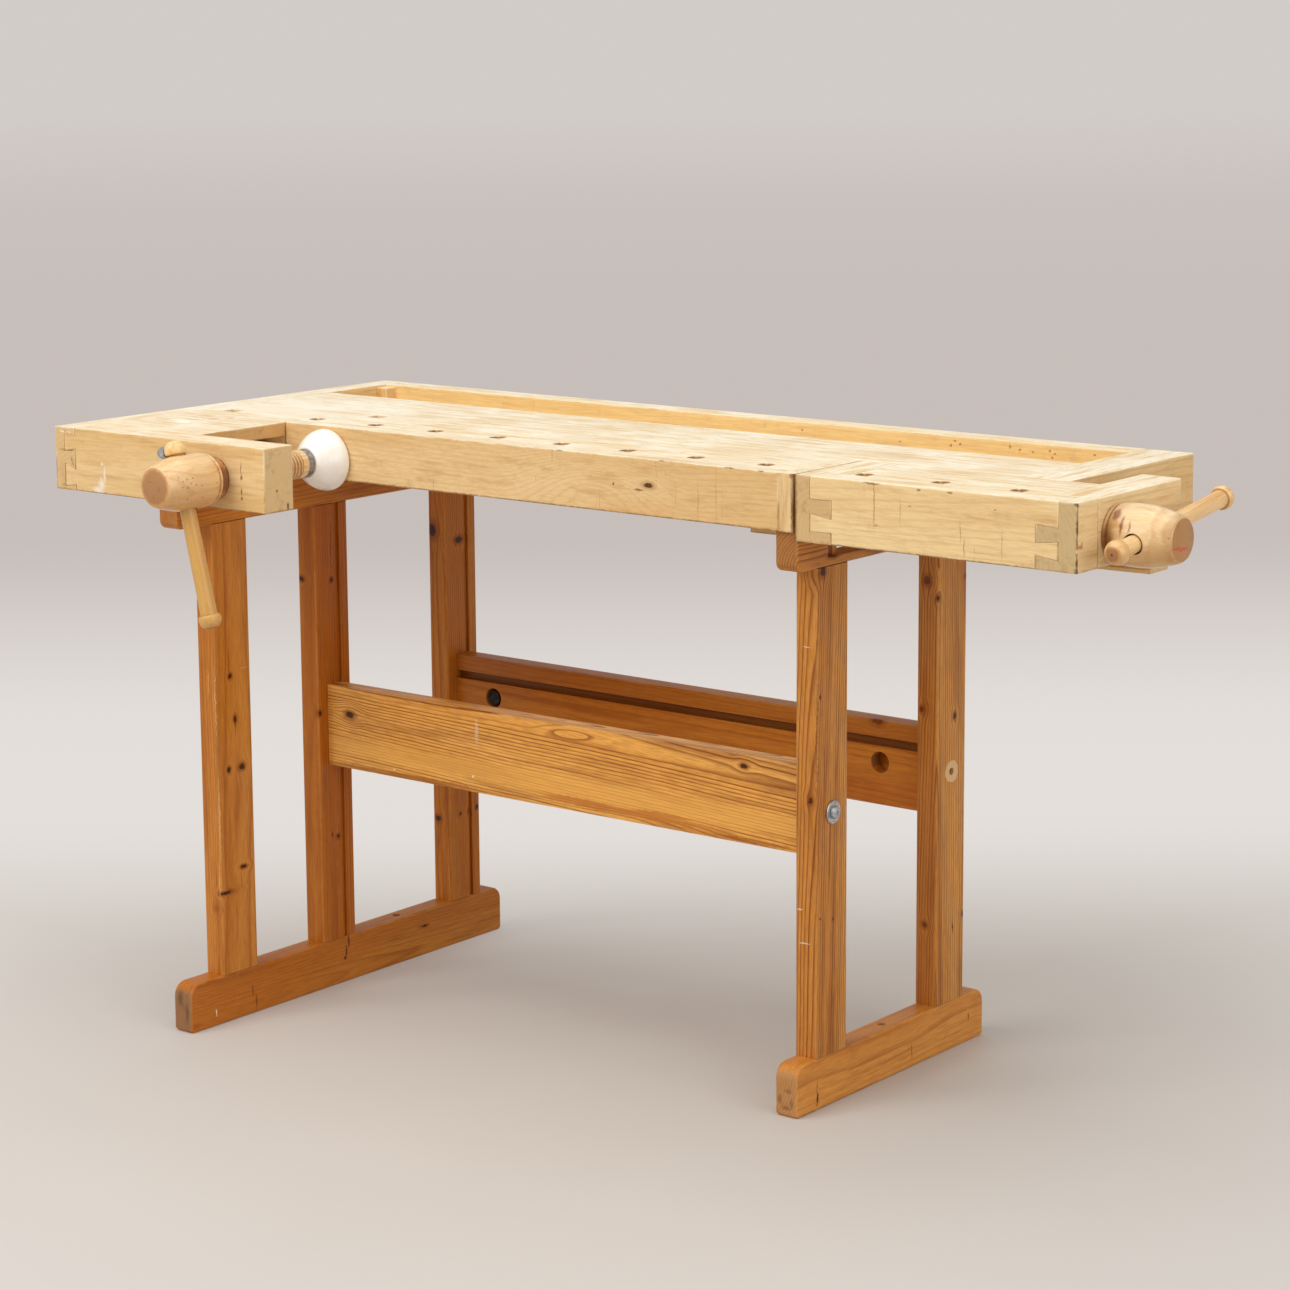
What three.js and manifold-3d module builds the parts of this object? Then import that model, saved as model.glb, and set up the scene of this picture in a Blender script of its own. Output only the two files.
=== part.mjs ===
// Woodworking bench with a shoulder vise at its left front corner and a sliding tail vise at its right.
// Millimetres, +Z up. X runs along the bench, Y from its front apron to its back rail.
import * as THREE from 'three';
import { mergeVertices } from 'three/addons/utils/BufferGeometryUtils.js';
import Module from 'manifold-3d';

const wasm = await Module();
wasm.setup();

// Whole bench
const BENCH_HEIGHT = 850;
const TRESTLE_SPACING = 890;
const TOP_LENGTH = 1440;
const TOP_DEPTH = 463;
const LEFT_OVERHANG = 222.75;
const JOINT_GAP = 0.3;
const SLIDE_GAP = 0.3;

// Trestles: sled foot, posts and bearer cut from one stock
const STOCK = 34.5;
const POST_DEPTH = 70;
const POST_ROUND = 4;
const FOOT_HEIGHT = 70;
const FOOT_ROUND = 20;
const FOOT_TOE_CHAMFER = 4;
const BEARER_HEIGHT = 53;
const BEARER_ROUND = 12;
const EDGE_ROUND = 3;
const RIGHT_FOOT_FRONT = 5;
const LEFT_FOOT_FRONT = -221;
const FOOT_SETBACK = 15;
const RIGHT_FOOT_TAIL = 5;
const FRONT_POST_INSET = 44;
const BACK_POST_INSET = 46;
const SHOULDER_POST_INSET = 65;
const FOOT_HOLE_RADIUS = 6;
const TENON_THICKNESS = 14;
const TENON_WIDTH = 44;
const TENON_LENGTH = 30;
const POST_GROOVE_WIDTH = 8;
const POST_GROOVE_DEPTH = 4;
const POST_GROOVE_OFFSET = 12;

// Stretchers and their knock-down bolts
const STRETCHER_HEIGHT = 120;
const STRETCHER_THICKNESS = 28;
const STRETCHER_MIDDLE = 396.5;
const STRETCHER_GROOVE_WIDTH = 12.5;
const STRETCHER_GROOVE_DEPTH = 9;
const STRETCHER_GROOVE_DROP = 24.5;
const NUT_HOLE_RADIUS = 15;
const NUT_HOLE_DEPTH = 22;
const NUT_HOLE_INSET = 74;
const BOLT_RADIUS = 5;
const BOLT_HOLE_RADIUS = 5.3;
const BOLT_HEAD_RADIUS = 9;
const BOLT_HEAD_HEIGHT = 6;
const BOLT_TAIL = 9;
const WASHER_RADIUS = 15.5;
const WASHER_THICKNESS = 2.5;
const CROSS_NUT_RADIUS = 11;
const CROSS_NUT_LENGTH = 18;

// Coach screws that hold the top down on the bearers
const COACH_SCREW_RADIUS = 4;
const COACH_HEAD_RADIUS = 8;
const COACH_HEAD_HEIGHT = 6;
const COACH_SINK = 8;
const COACH_BITE = 32;
const COACH_FRONT = 25;
const COACH_BACK_SETBACK = 16;

// Bench top, apron and tool tray
const TOP_THICKNESS = 20;
const APRON_HEIGHT = 75;
const APRON_FACE = 40;
const DOG_STRIP = 38;
const END_JAW_THICKNESS = 22.5;
const JAW_SETBACK = 3.5;
const DOG_HOLE_WIDTH = 18;
const DOG_HOLE_DEPTH = 20;
const DOG_HOLE_SPACING = 114;
const DOG_HOLE_COUNT = 8;
const FIRST_DOG_FROM_JAW = 77.5;
const LARGE_HOLE_WIDTH = 24;
const LARGE_HOLE_STEP = 171;
const BACK_HOLE_LEFT = 263;
const BACK_HOLE_BEHIND = 44;
const LEFT_CAP_THICKNESS = 40;
const RIGHT_CAP_THICKNESS = 71;
const RAIL_THICKNESS = 41;
const TRAY_WIDTH = 127;
const TRAY_FLOOR_THICKNESS = 12;
const TRAY_RAIL_THICKNESS = 30;
const TRAY_BLOCK = 20;
const TRAY_BLOCK_DROP = 3;

// Shoulder vise
const SHOULDER_REACH = 222.5;
const SHOULDER_HEIGHT = 89;
const SHOULDER_BEAM_LENGTH = 414;
const SHOULDER_BEAM_THICKNESS = 55;
const SHOULDER_LAP = 18;
const SHOULDER_SLAB_WIDTH = 196;
const SHOULDER_SCREW_FROM_END = 95;

// Wooden vise screws, hubs and handles
const SCREW_DROP = 47;
const SHOULDER_SCREW_RADIUS = 21;
const TAIL_SCREW_RADIUS = 18;
const SCREW_CLEARANCE = 0.4;
const HUB_SOCKET = 24;
const SHOULDER_HUB_LENGTH = 93.5;
const TAIL_HUB_LENGTH = 91.5;
const HUB_RADIUS = 38.8;
const HUB_END_RADIUS = 26.5;
const COLLAR_RADIUS = 29.5;
const COLLAR_THICKNESS = 17;
const HANDLE_RADIUS = 11.5;
const HANDLE_CLEARANCE = 0.6;
const SHOULDER_ROD_LENGTH = 244;
const TAIL_ROD_LENGTH = 268;
const KNOB_RADIUS = 15.5;
const KNOB_HEIGHT = 19;
const KNOB_SOCKET = 12;
const SHOULDER_HANDLE_TILT = 14.2;
const SHOULDER_HANDLE_FROM_BACK = 43;
const TAIL_HANDLE_TILT = 7.6;
const TAIL_HANDLE_FROM_BACK = 44;
const TAIL_KNOB_FROM_AXIS = 67;
const KNOB_BOLT_RADIUS = 4;
const CAP_NUT_RADIUS = 8.8;
const CAP_NUT_HEIGHT = 18;
const KNOB_BOLT_BITE = 12;

// Swivel pad of the shoulder vise
const PAD_RADIUS = 43.7;
const PAD_DEPTH = 45;
const PAD_FACE_GAP = 1;
const PAD_BACK_RADIUS = 22;
const FERRULE_LENGTH = 12;
const FERRULE_WALL = 3;
const FERRULE_STEP = 0.7;
const SWIVEL_RADIUS = 9;
const SWIVEL_LENGTH = 16;

// Tail vise carriage
const VISE_GAP = 4;
const VISE_CAP_CLEARANCE = 43;
const VISE_DEPTH = 151;
const VISE_HEIGHT = 85;
const VISE_BACK_GAP = 2;
const VISE_STRIP = 24;
const VISE_PLATE_THICKNESS = 16;
const VISE_DOG_COUNT = 3;
const VISE_DOG_FROM_JAW = 71.5;
const JAW_LAP = 22;
const JAW_PIN_LENGTH = 33;
const END_LAP = 26;
const END_PIN_LENGTH = 32;
const END_INNER_LAYER = 22;
const END_STEP = 47;
const END_REACH = 255;
const END_ROUND = 10;
const TAIL_SCREW_BEHIND = 90;
const TAIL_SCREW_JAW_CLEARANCE = 47.5;
const TAIL_COLLAR_RADIUS = 24;
const TAIL_COLLAR_THICKNESS = 8;
const GUIDE_BAR_WIDTH = 45;
const GUIDE_BAR_HEIGHT = 31;
const GUIDE_BAR_TAPER = 6;
const GUIDE_BAR_BEHIND = 174;
const GUIDE_BAR_LENGTH = 610;
const GUIDE_GROOVE = 5;
const KEEPER_WIDTH = 33;
const KEEPER_LENGTH = 400;
const NUT_BLOCK_CLEARANCE = 3;
const NOTCH_FRONT_CLEARANCE = 5;

// Dovetail pins, each as depths below the top in shares of the beam's height: at the root and at the tip
const SHOULDER_PINS = [
  { rootLow: 1, rootHigh: 0.91, tipLow: 1, tipHigh: 0.944 },
  { rootLow: 0.663, rootHigh: 0.337, tipLow: 0.573, tipHigh: 0.382 },
  { rootLow: 0.124, rootHigh: 0, tipLow: 0.045, tipHigh: 0 },
];
const JAW_PINS = [
  { rootLow: 1, rootHigh: 0.824, tipLow: 1, tipHigh: 0.835 },
  { rootLow: 0.624, rootHigh: 0.341, tipLow: 0.565, tipHigh: 0.347 },
];
const END_PINS = [
  { rootLow: 1, rootHigh: 0.8, tipLow: 1, tipHigh: 0.847 },
  { rootLow: 0.624, rootHigh: 0.353, tipLow: 0.576, tipHigh: 0.388 },
];

const ROUND_SIDES = 32;
const BOLT_SIDES = 12;

// Levels and lines that several pieces share
const topZ = BENCH_HEIGHT;
const boardUnderside = topZ - TOP_THICKNESS;
const apronUnderside = topZ - APRON_HEIGHT;
const bearerUnderside = apronUnderside - BEARER_HEIGHT;
const shoulderUnderside = topZ - SHOULDER_HEIGHT;
const viseUnderside = topZ - VISE_HEIGHT;
const screwZ = topZ - SCREW_DROP;

const leftTrestle = -TRESTLE_SPACING / 2;
const rightTrestle = TRESTLE_SPACING / 2;
const halfStock = STOCK / 2;
const leftCapOuter = leftTrestle - LEFT_OVERHANG;
const leftCapInner = leftCapOuter + LEFT_CAP_THICKNESS;
const rightCapOuter = leftCapOuter + TOP_LENGTH;
const rightCapInner = rightCapOuter - RIGHT_CAP_THICKNESS;
const fixedJaw = rightTrestle + halfStock - JAW_SETBACK;
const endJawInner = fixedJaw - END_JAW_THICKNESS;

const apronFront = 0;
const dogStripBack = APRON_FACE + DOG_STRIP;
const footBack = TOP_DEPTH - FOOT_SETBACK;
const railFront = TOP_DEPTH - RAIL_THICKNESS;
const trayFront = railFront - TRAY_WIDTH;
const rightCapFront = VISE_DEPTH + VISE_BACK_GAP;
const beamFront = apronFront - SHOULDER_REACH;
const beamBack = beamFront + SHOULDER_BEAM_THICKNESS;
const frontPostY = RIGHT_FOOT_FRONT + FRONT_POST_INSET + POST_DEPTH / 2;
const backPostY = footBack - BACK_POST_INSET - POST_DEPTH / 2;
const shoulderPostY = LEFT_FOOT_FRONT + SHOULDER_POST_INSET + POST_DEPTH / 2;

const viseLeft = fixedJaw + VISE_GAP;
const jawBlockRight = viseLeft + JAW_LAP + JAW_PIN_LENGTH;
const endBlockLeft = rightCapOuter + VISE_CAP_CLEARANCE;
const viseRight = endBlockLeft + END_PIN_LENGTH + END_LAP;
const screwBlockLeft = endBlockLeft + END_INNER_LAYER;
const viseStripBack = APRON_FACE + VISE_STRIP;
const visePlateUnderside = topZ - VISE_PLATE_THICKNESS;
const guideBarBack = GUIDE_BAR_BEHIND + GUIDE_BAR_WIDTH;
const guideBarUnderside = viseUnderside - GUIDE_BAR_HEIGHT;
const guideBarTopClear = viseUnderside + SLIDE_GAP;

// Materials
const finishes = {
  pine: { color: 0xc07a35, roughness: 0.45, metalness: 0 },
  beech: { color: 0xe0c084, roughness: 0.55, metalness: 0 },
  turnedBeech: { color: 0xd9a864, roughness: 0.4, metalness: 0 },
  darkCollar: { color: 0x6b4424, roughness: 0.5, metalness: 0 },
  zinc: { color: 0xb9bcc0, roughness: 0.35, metalness: 1 },
  blackSteel: { color: 0x2c2a28, roughness: 0.5, metalness: 1 },
  whitePad: { color: 0xeeebe2, roughness: 0.3, metalness: 0 },
};

function meshOf(name, geometry, finish) {
  const mesh = new THREE.Mesh(geometry, new THREE.MeshStandardMaterial(finishes[finish]));
  mesh.name = name;
  return mesh;
}

// A closed geometry as a solid that can be joined and cut
function solidOf(geometry) {
  const bare = geometry.clone();
  bare.deleteAttribute('normal');
  bare.deleteAttribute('uv');
  const merged = mergeVertices(bare, 1e-4);
  const corners = merged.index.array;
  const kept = [];
  for (let i = 0; i < corners.length; i += 3) {
    const [a, b, c] = [corners[i], corners[i + 1], corners[i + 2]];
    if (a !== b && b !== c && c !== a) kept.push(a, b, c);
  }
  return new wasm.Manifold(new wasm.Mesh({
    numProp: 3,
    vertProperties: new Float32Array(merged.attributes.position.array),
    triVerts: new Uint32Array(kept),
  }));
}

function geometryOf(solid) {
  const mesh = solid.getMesh();
  const geometry = new THREE.BufferGeometry();
  geometry.setAttribute('position', new THREE.BufferAttribute(mesh.vertProperties, 3));
  geometry.setIndex(new THREE.BufferAttribute(mesh.triVerts, 1));
  geometry.computeVertexNormals();
  return geometry;
}

function cut(base, ...tools) {
  return geometryOf(tools.reduce((solid, tool) => solid.subtract(solidOf(tool)), solidOf(base)));
}

function join(base, ...others) {
  return geometryOf(others.reduce((solid, other) => solid.add(solidOf(other)), solidOf(base)));
}

// Box between two corners
function block(x0, x1, y0, y1, z0, z1) {
  const box = new THREE.BoxGeometry(x1 - x0, y1 - y0, z1 - z0);
  return box.translate((x0 + x1) / 2, (y0 + y1) / 2, (z0 + z1) / 2);
}

function outline(points) {
  return new THREE.Shape(points.map(([a, b]) => new THREE.Vector2(a, b)));
}

const plainExtrusion = { bevelEnabled: false, curveSegments: 8 };

// Outline in X and Z, carried along Y
function alongY(shape, y0, y1) {
  const geometry = new THREE.ExtrudeGeometry(shape, { ...plainExtrusion, depth: y1 - y0 });
  return geometry.rotateX(Math.PI / 2).translate(0, y1, 0);
}

// Outline in X and Y, carried along Z
function alongZ(shape, z0, z1) {
  return new THREE.ExtrudeGeometry(shape, { ...plainExtrusion, depth: z1 - z0 }).translate(0, 0, z0);
}

const axisX = new THREE.Vector3(1, 0, 0);
const axisY = new THREE.Vector3(0, 1, 0);
const axisZ = new THREE.Vector3(0, 0, 1);
const lengthwise = new THREE.Matrix4().makeBasis(axisY, axisZ, axisX);

// Outline in Y and Z, carried along X, with its long edges eased
function easedAlongX(shape, x0, x1) {
  const options = {
    depth: x1 - x0 - 2 * EDGE_ROUND,
    bevelEnabled: true,
    bevelThickness: EDGE_ROUND,
    bevelSize: EDGE_ROUND,
    bevelOffset: -EDGE_ROUND,
    bevelSegments: 2,
    curveSegments: 6,
  };
  const geometry = new THREE.ExtrudeGeometry(shape, options);
  return geometry.applyMatrix4(lengthwise).translate(x0 + EDGE_ROUND, 0, 0);
}

// Solid of revolution about +Z; the profile lists radius and height from the axis back to the axis
function turned(profile, sides = ROUND_SIDES) {
  const points = profile.map(([r, h]) => new THREE.Vector2(r, h));
  return new THREE.LatheGeometry(points, sides).rotateX(Math.PI / 2);
}

function rod(radius, length, sides = ROUND_SIDES) {
  return turned([[0, 0], [radius, 0], [radius, length], [0, length]], sides);
}

function ring(outer, inner, length, sides = ROUND_SIDES) {
  return turned([[inner, 0], [outer, 0], [outer, length], [inner, length], [inner, 0]], sides);
}

// Turn a piece made about +Z so that its axis lies along +X, -X, +Y or -Y
const toPlusX = (geometry) => geometry.rotateY(Math.PI / 2);
const toMinusX = (geometry) => geometry.rotateY(-Math.PI / 2);
const toPlusY = (geometry) => geometry.rotateX(-Math.PI / 2);
const toMinusY = (geometry) => geometry.rotateX(Math.PI / 2);

const bench = new THREE.Group();

// Trestles

// Bearer outline in Y and Z: a bar whose ends are rounded below
function bearerOutline(front, back) {
  const shape = new THREE.Shape();
  shape.moveTo(front + BEARER_ROUND, bearerUnderside);
  shape.lineTo(back - BEARER_ROUND, bearerUnderside);
  shape.absarc(back - BEARER_ROUND, bearerUnderside + BEARER_ROUND, BEARER_ROUND, -Math.PI / 2, 0);
  shape.lineTo(back, apronUnderside);
  shape.lineTo(front, apronUnderside);
  shape.absarc(front + BEARER_ROUND, bearerUnderside + BEARER_ROUND, BEARER_ROUND, Math.PI, 1.5 * Math.PI);
  return shape;
}

function mortise(x, y, z0, z1) {
  const halfThickness = TENON_THICKNESS / 2 + JOINT_GAP;
  const halfWidth = TENON_WIDTH / 2 + JOINT_GAP;
  return block(x - halfThickness, x + halfThickness, y - halfWidth, y + halfWidth, z0, z1);
}

// Foot: a bar with rounded shoulders and chamfered toes, mortised for its posts
function foot(name, x, front, back, postLines) {
  const shape = new THREE.Shape();
  shape.moveTo(front + FOOT_TOE_CHAMFER, 0);
  shape.lineTo(back - FOOT_TOE_CHAMFER, 0);
  shape.lineTo(back, FOOT_TOE_CHAMFER);
  shape.absarc(back - FOOT_ROUND, FOOT_HEIGHT - FOOT_ROUND, FOOT_ROUND, 0, Math.PI / 2);
  shape.absarc(front + FOOT_ROUND, FOOT_HEIGHT - FOOT_ROUND, FOOT_ROUND, Math.PI / 2, Math.PI);
  shape.lineTo(front, FOOT_TOE_CHAMFER);
  const bar = easedAlongX(shape, x - halfStock, x + halfStock);
  const mortiseFloor = FOOT_HEIGHT - TENON_LENGTH - JOINT_GAP;
  const mortises = postLines.map((y) => mortise(x, y, mortiseFloor, FOOT_HEIGHT + 1));
  const hole = rod(FOOT_HOLE_RADIUS, FOOT_HEIGHT + 2, BOLT_SIDES);
  hole.translate(x, (frontPostY + backPostY) / 2, -1);
  return meshOf(name, cut(bar, ...mortises, hole), 'pine');
}

function bearer(name, x, front, postLines, notches) {
  const shape = bearerOutline(front, footBack);
  const bar = easedAlongX(shape, x - halfStock, x + halfStock);
  const mortiseRoof = bearerUnderside + TENON_LENGTH + JOINT_GAP;
  const mortises = postLines.map((y) => mortise(x, y, bearerUnderside - 1, mortiseRoof));
  const screwHoles = coachLines().flatMap((y) => {
    const shank = rod(COACH_SCREW_RADIUS + JOINT_GAP, BEARER_HEIGHT + 2, BOLT_SIDES);
    const sink = rod(COACH_HEAD_RADIUS + JOINT_GAP, COACH_SINK + 1, BOLT_SIDES);
    return [shank.translate(x, y, bearerUnderside - 1), sink.translate(x, y, bearerUnderside - 1)];
  });
  return meshOf(name, cut(bar, ...mortises, ...screwHoles, ...notches), 'pine');
}

function coachLines() {
  return [apronFront + COACH_FRONT, footBack - COACH_BACK_SETBACK];
}

// Post with rounded corners, a stub tenon at each end and, on the inner face, a long narrow groove
function post(name, x, y, innerSide, grooved) {
  const half = POST_DEPTH / 2;
  const shape = new THREE.Shape();
  const r = POST_ROUND;
  shape.moveTo(-halfStock + r, -half);
  shape.lineTo(halfStock - r, -half);
  shape.absarc(halfStock - r, -half + r, r, -Math.PI / 2, 0);
  if (grooved) {
    const grooveLow = POST_GROOVE_OFFSET - POST_GROOVE_WIDTH / 2;
    const grooveHigh = POST_GROOVE_OFFSET + POST_GROOVE_WIDTH / 2;
    shape.lineTo(halfStock, grooveLow);
    shape.lineTo(halfStock - POST_GROOVE_DEPTH, grooveLow);
    shape.lineTo(halfStock - POST_GROOVE_DEPTH, grooveHigh);
    shape.lineTo(halfStock, grooveHigh);
  }
  shape.lineTo(halfStock, half - r);
  shape.absarc(halfStock - r, half - r, r, 0, Math.PI / 2);
  shape.lineTo(-halfStock + r, half);
  shape.absarc(-halfStock + r, half - r, r, Math.PI / 2, Math.PI);
  shape.lineTo(-halfStock, -half + r);
  shape.absarc(-halfStock + r, -half + r, r, Math.PI, 1.5 * Math.PI);
  const shaft = new THREE.ExtrudeGeometry(shape, {
    bevelEnabled: false,
    curveSegments: 4,
    depth: bearerUnderside - FOOT_HEIGHT,
  });
  if (innerSide < 0) {
    shaft.applyMatrix4(new THREE.Matrix4().makeScale(-1, 1, 1));
    flipFaces(shaft);
  }
  shaft.translate(x, y, FOOT_HEIGHT);
  const tenon = block(
    x - TENON_THICKNESS / 2, x + TENON_THICKNESS / 2,
    y - TENON_WIDTH / 2, y + TENON_WIDTH / 2,
    FOOT_HEIGHT - TENON_LENGTH, bearerUnderside + TENON_LENGTH,
  );
  const whole = join(shaft, tenon);
  if (y === shoulderPostY) return meshOf(name, whole, 'pine');
  return meshOf(name, cut(whole, boltHole(x, y)), 'pine');
}

// A mirrored geometry needs its triangles turned over
function flipFaces(geometry) {
  const positions = geometry.attributes.position;
  for (let i = 0; i < positions.count; i += 3) {
    const second = new THREE.Vector3().fromBufferAttribute(positions, i + 1);
    const third = new THREE.Vector3().fromBufferAttribute(positions, i + 2);
    positions.setXYZ(i + 1, third.x, third.y, third.z);
    positions.setXYZ(i + 2, second.x, second.y, second.z);
  }
}

function boltHole(x, y) {
  const hole = toPlusX(rod(BOLT_HOLE_RADIUS, STOCK + 2, BOLT_SIDES));
  return hole.translate(x - halfStock - 1, y, STRETCHER_MIDDLE);
}

const leftPostLines = [shoulderPostY, frontPostY, backPostY];
const rightPostLines = [frontPostY, backPostY];
bench.add(foot('left_foot', leftTrestle, LEFT_FOOT_FRONT, footBack, leftPostLines));
bench.add(foot('right_foot', rightTrestle, RIGHT_FOOT_FRONT, footBack + RIGHT_FOOT_TAIL, rightPostLines));
bench.add(post('left_shoulder_post', leftTrestle, shoulderPostY, 1, false));
bench.add(post('left_front_post', leftTrestle, frontPostY, 1, true));
bench.add(post('left_back_post', leftTrestle, backPostY, 1, true));
bench.add(post('right_front_post', rightTrestle, frontPostY, -1, true));
bench.add(post('right_back_post', rightTrestle, backPostY, -1, true));

// The left bearer is cut down in front for the deeper shoulder beam, the right one for the guide bar
// and, along its outer top edge, for the sliding jaw that closes over it
const leftNotch = block(
  leftTrestle - STOCK, leftTrestle + STOCK,
  LEFT_FOOT_FRONT - 1, beamBack + JOINT_GAP,
  shoulderUnderside, apronUnderside + 1,
);
const rightNotch = block(
  rightTrestle - STOCK, rightTrestle + STOCK,
  dogStripBack - NOTCH_FRONT_CLEARANCE, guideBarBack + NOTCH_FRONT_CLEARANCE,
  guideBarUnderside - SLIDE_GAP, apronUnderside + 1,
);
const jawRebate = block(
  fixedJaw - SLIDE_GAP, rightTrestle + STOCK,
  RIGHT_FOOT_FRONT - 1, dogStripBack,
  viseUnderside - SLIDE_GAP, apronUnderside + 1,
);
bench.add(bearer('left_bearer', leftTrestle, LEFT_FOOT_FRONT, leftPostLines, [leftNotch]));
bench.add(bearer('right_bearer', rightTrestle, RIGHT_FOOT_FRONT, rightPostLines, [rightNotch, jawRebate]));

// Stretchers

const stretcherLeft = leftTrestle + halfStock;
const stretcherRight = rightTrestle - halfStock;
const stretcherTop = STRETCHER_MIDDLE + STRETCHER_HEIGHT / 2;

// Board between the trestles; its inner face, towards innerSide in Y, has a groove and two nut holes
function stretcher(name, y, innerSide) {
  const half = STRETCHER_THICKNESS / 2;
  const board = block(
    stretcherLeft, stretcherRight,
    y - half, y + half,
    stretcherTop - STRETCHER_HEIGHT, stretcherTop,
  );
  const innerFace = y + innerSide * half;
  const grooveFloor = innerFace - innerSide * STRETCHER_GROOVE_DEPTH;
  const groove = block(
    stretcherLeft - 1, stretcherRight + 1,
    Math.min(innerFace + innerSide, grooveFloor), Math.max(innerFace + innerSide, grooveFloor),
    stretcherTop - STRETCHER_GROOVE_DROP - STRETCHER_GROOVE_WIDTH, stretcherTop - STRETCHER_GROOVE_DROP,
  );
  const holes = [stretcherLeft + NUT_HOLE_INSET, stretcherRight - NUT_HOLE_INSET].flatMap((x, index) => {
    const pocket = toPlusY(rod(NUT_HOLE_RADIUS, NUT_HOLE_DEPTH + 1));
    const pocketStart = innerSide > 0 ? innerFace - NUT_HOLE_DEPTH : innerFace - 1;
    pocket.translate(x, pocketStart, STRETCHER_MIDDLE);
    const boltWay = toPlusX(rod(BOLT_HOLE_RADIUS, NUT_HOLE_INSET + 1, BOLT_SIDES));
    boltWay.translate(index === 0 ? stretcherLeft - 1 : x, y, STRETCHER_MIDDLE);
    return [pocket, boltWay];
  });
  return meshOf(name, cut(board, groove, ...holes), 'pine');
}

bench.add(stretcher('front_stretcher', frontPostY, 1));
bench.add(stretcher('back_stretcher', backPostY, -1));

// Bolt, washer and cross nut of one stretcher end; outward is -1 at the left trestle, 1 at the right
function knockDownBolt(place, trestleX, y, outward, innerSide) {
  const outerFace = trestleX + outward * halfStock;
  const nutX = trestleX - outward * (halfStock + NUT_HOLE_INSET);
  const outwards = outward > 0 ? toPlusX : toMinusX;
  const inwards = outward > 0 ? toMinusX : toPlusX;
  const washer = outwards(ring(WASHER_RADIUS, BOLT_HOLE_RADIUS, WASHER_THICKNESS, BOLT_SIDES));
  washer.translate(outerFace, y, STRETCHER_MIDDLE);
  const shankLength = Math.abs(nutX - outerFace) + WASHER_THICKNESS + BOLT_TAIL;
  const shank = inwards(rod(BOLT_RADIUS, shankLength + 1, BOLT_SIDES));
  shank.translate(outerFace + outward * (WASHER_THICKNESS + 1), y, STRETCHER_MIDDLE);
  const head = outwards(turned([
    [0, 0],
    [BOLT_HEAD_RADIUS, 0],
    [BOLT_HEAD_RADIUS, BOLT_HEAD_HEIGHT * 0.6],
    [BOLT_HEAD_RADIUS * 0.75, BOLT_HEAD_HEIGHT],
    [0, BOLT_HEAD_HEIGHT],
  ], BOLT_SIDES));
  head.translate(outerFace + outward * WASHER_THICKNESS, y, STRETCHER_MIDDLE);
  const nut = toPlusY(rod(CROSS_NUT_RADIUS, CROSS_NUT_LENGTH, BOLT_SIDES));
  const pocketMiddle = y + innerSide * (STRETCHER_THICKNESS - NUT_HOLE_DEPTH) / 2;
  nut.translate(nutX, pocketMiddle - CROSS_NUT_LENGTH / 2, STRETCHER_MIDDLE);
  const nutBore = toPlusX(rod(BOLT_HOLE_RADIUS, 2 * CROSS_NUT_RADIUS + 2, BOLT_SIDES));
  nutBore.translate(nutX - CROSS_NUT_RADIUS - 1, y, STRETCHER_MIDDLE);
  bench.add(meshOf('washer_' + place, washer, 'zinc'));
  bench.add(meshOf('bolt_' + place, join(head, shank), 'zinc'));
  bench.add(meshOf('cross_nut_' + place, cut(nut, nutBore), 'blackSteel'));
}

knockDownBolt('front_left', leftTrestle, frontPostY, -1, 1);
knockDownBolt('front_right', rightTrestle, frontPostY, 1, 1);
knockDownBolt('back_left', leftTrestle, backPostY, -1, -1);

// Bench top

// Hole across a board for one coach screw, and the screw itself
function coachPilot(x, y) {
  const pilot = rod(COACH_SCREW_RADIUS + JOINT_GAP, COACH_BITE + 1, BOLT_SIDES);
  return pilot.translate(x, y, apronUnderside - 1 + JOINT_GAP);
}

function coachScrew(name, x, y) {
  const headTop = bearerUnderside + COACH_SINK;
  const head = rod(COACH_HEAD_RADIUS, COACH_HEAD_HEIGHT, 6);
  head.translate(x, y, headTop - COACH_HEAD_HEIGHT);
  const shank = rod(COACH_SCREW_RADIUS, apronUnderside + COACH_BITE - headTop, BOLT_SIDES);
  shank.translate(x, y, headTop - 1);
  bench.add(meshOf(name, join(head, shank), 'zinc'));
}

const [coachFrontY, coachBackY] = coachLines();
coachScrew('coach_screw_left_front', leftTrestle, coachFrontY);
coachScrew('coach_screw_left_back', leftTrestle, coachBackY);
coachScrew('coach_screw_right_front', rightTrestle, coachFrontY);
coachScrew('coach_screw_right_back', rightTrestle, coachBackY);

// Apron: a face board, and behind it a strip notched into a row of square dog holes
const apronFace = block(leftCapInner, endJawInner, apronFront, APRON_FACE, apronUnderside, topZ);
const apronPilot = coachPilot(leftTrestle, coachFrontY);
bench.add(meshOf('front_apron', cut(apronFace, apronPilot), 'beech'));

function dogNotch(x, width, depth, bottom) {
  return block(x - width / 2, x + width / 2, APRON_FACE - 1, APRON_FACE + depth, bottom - 1, topZ + 1);
}

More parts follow.
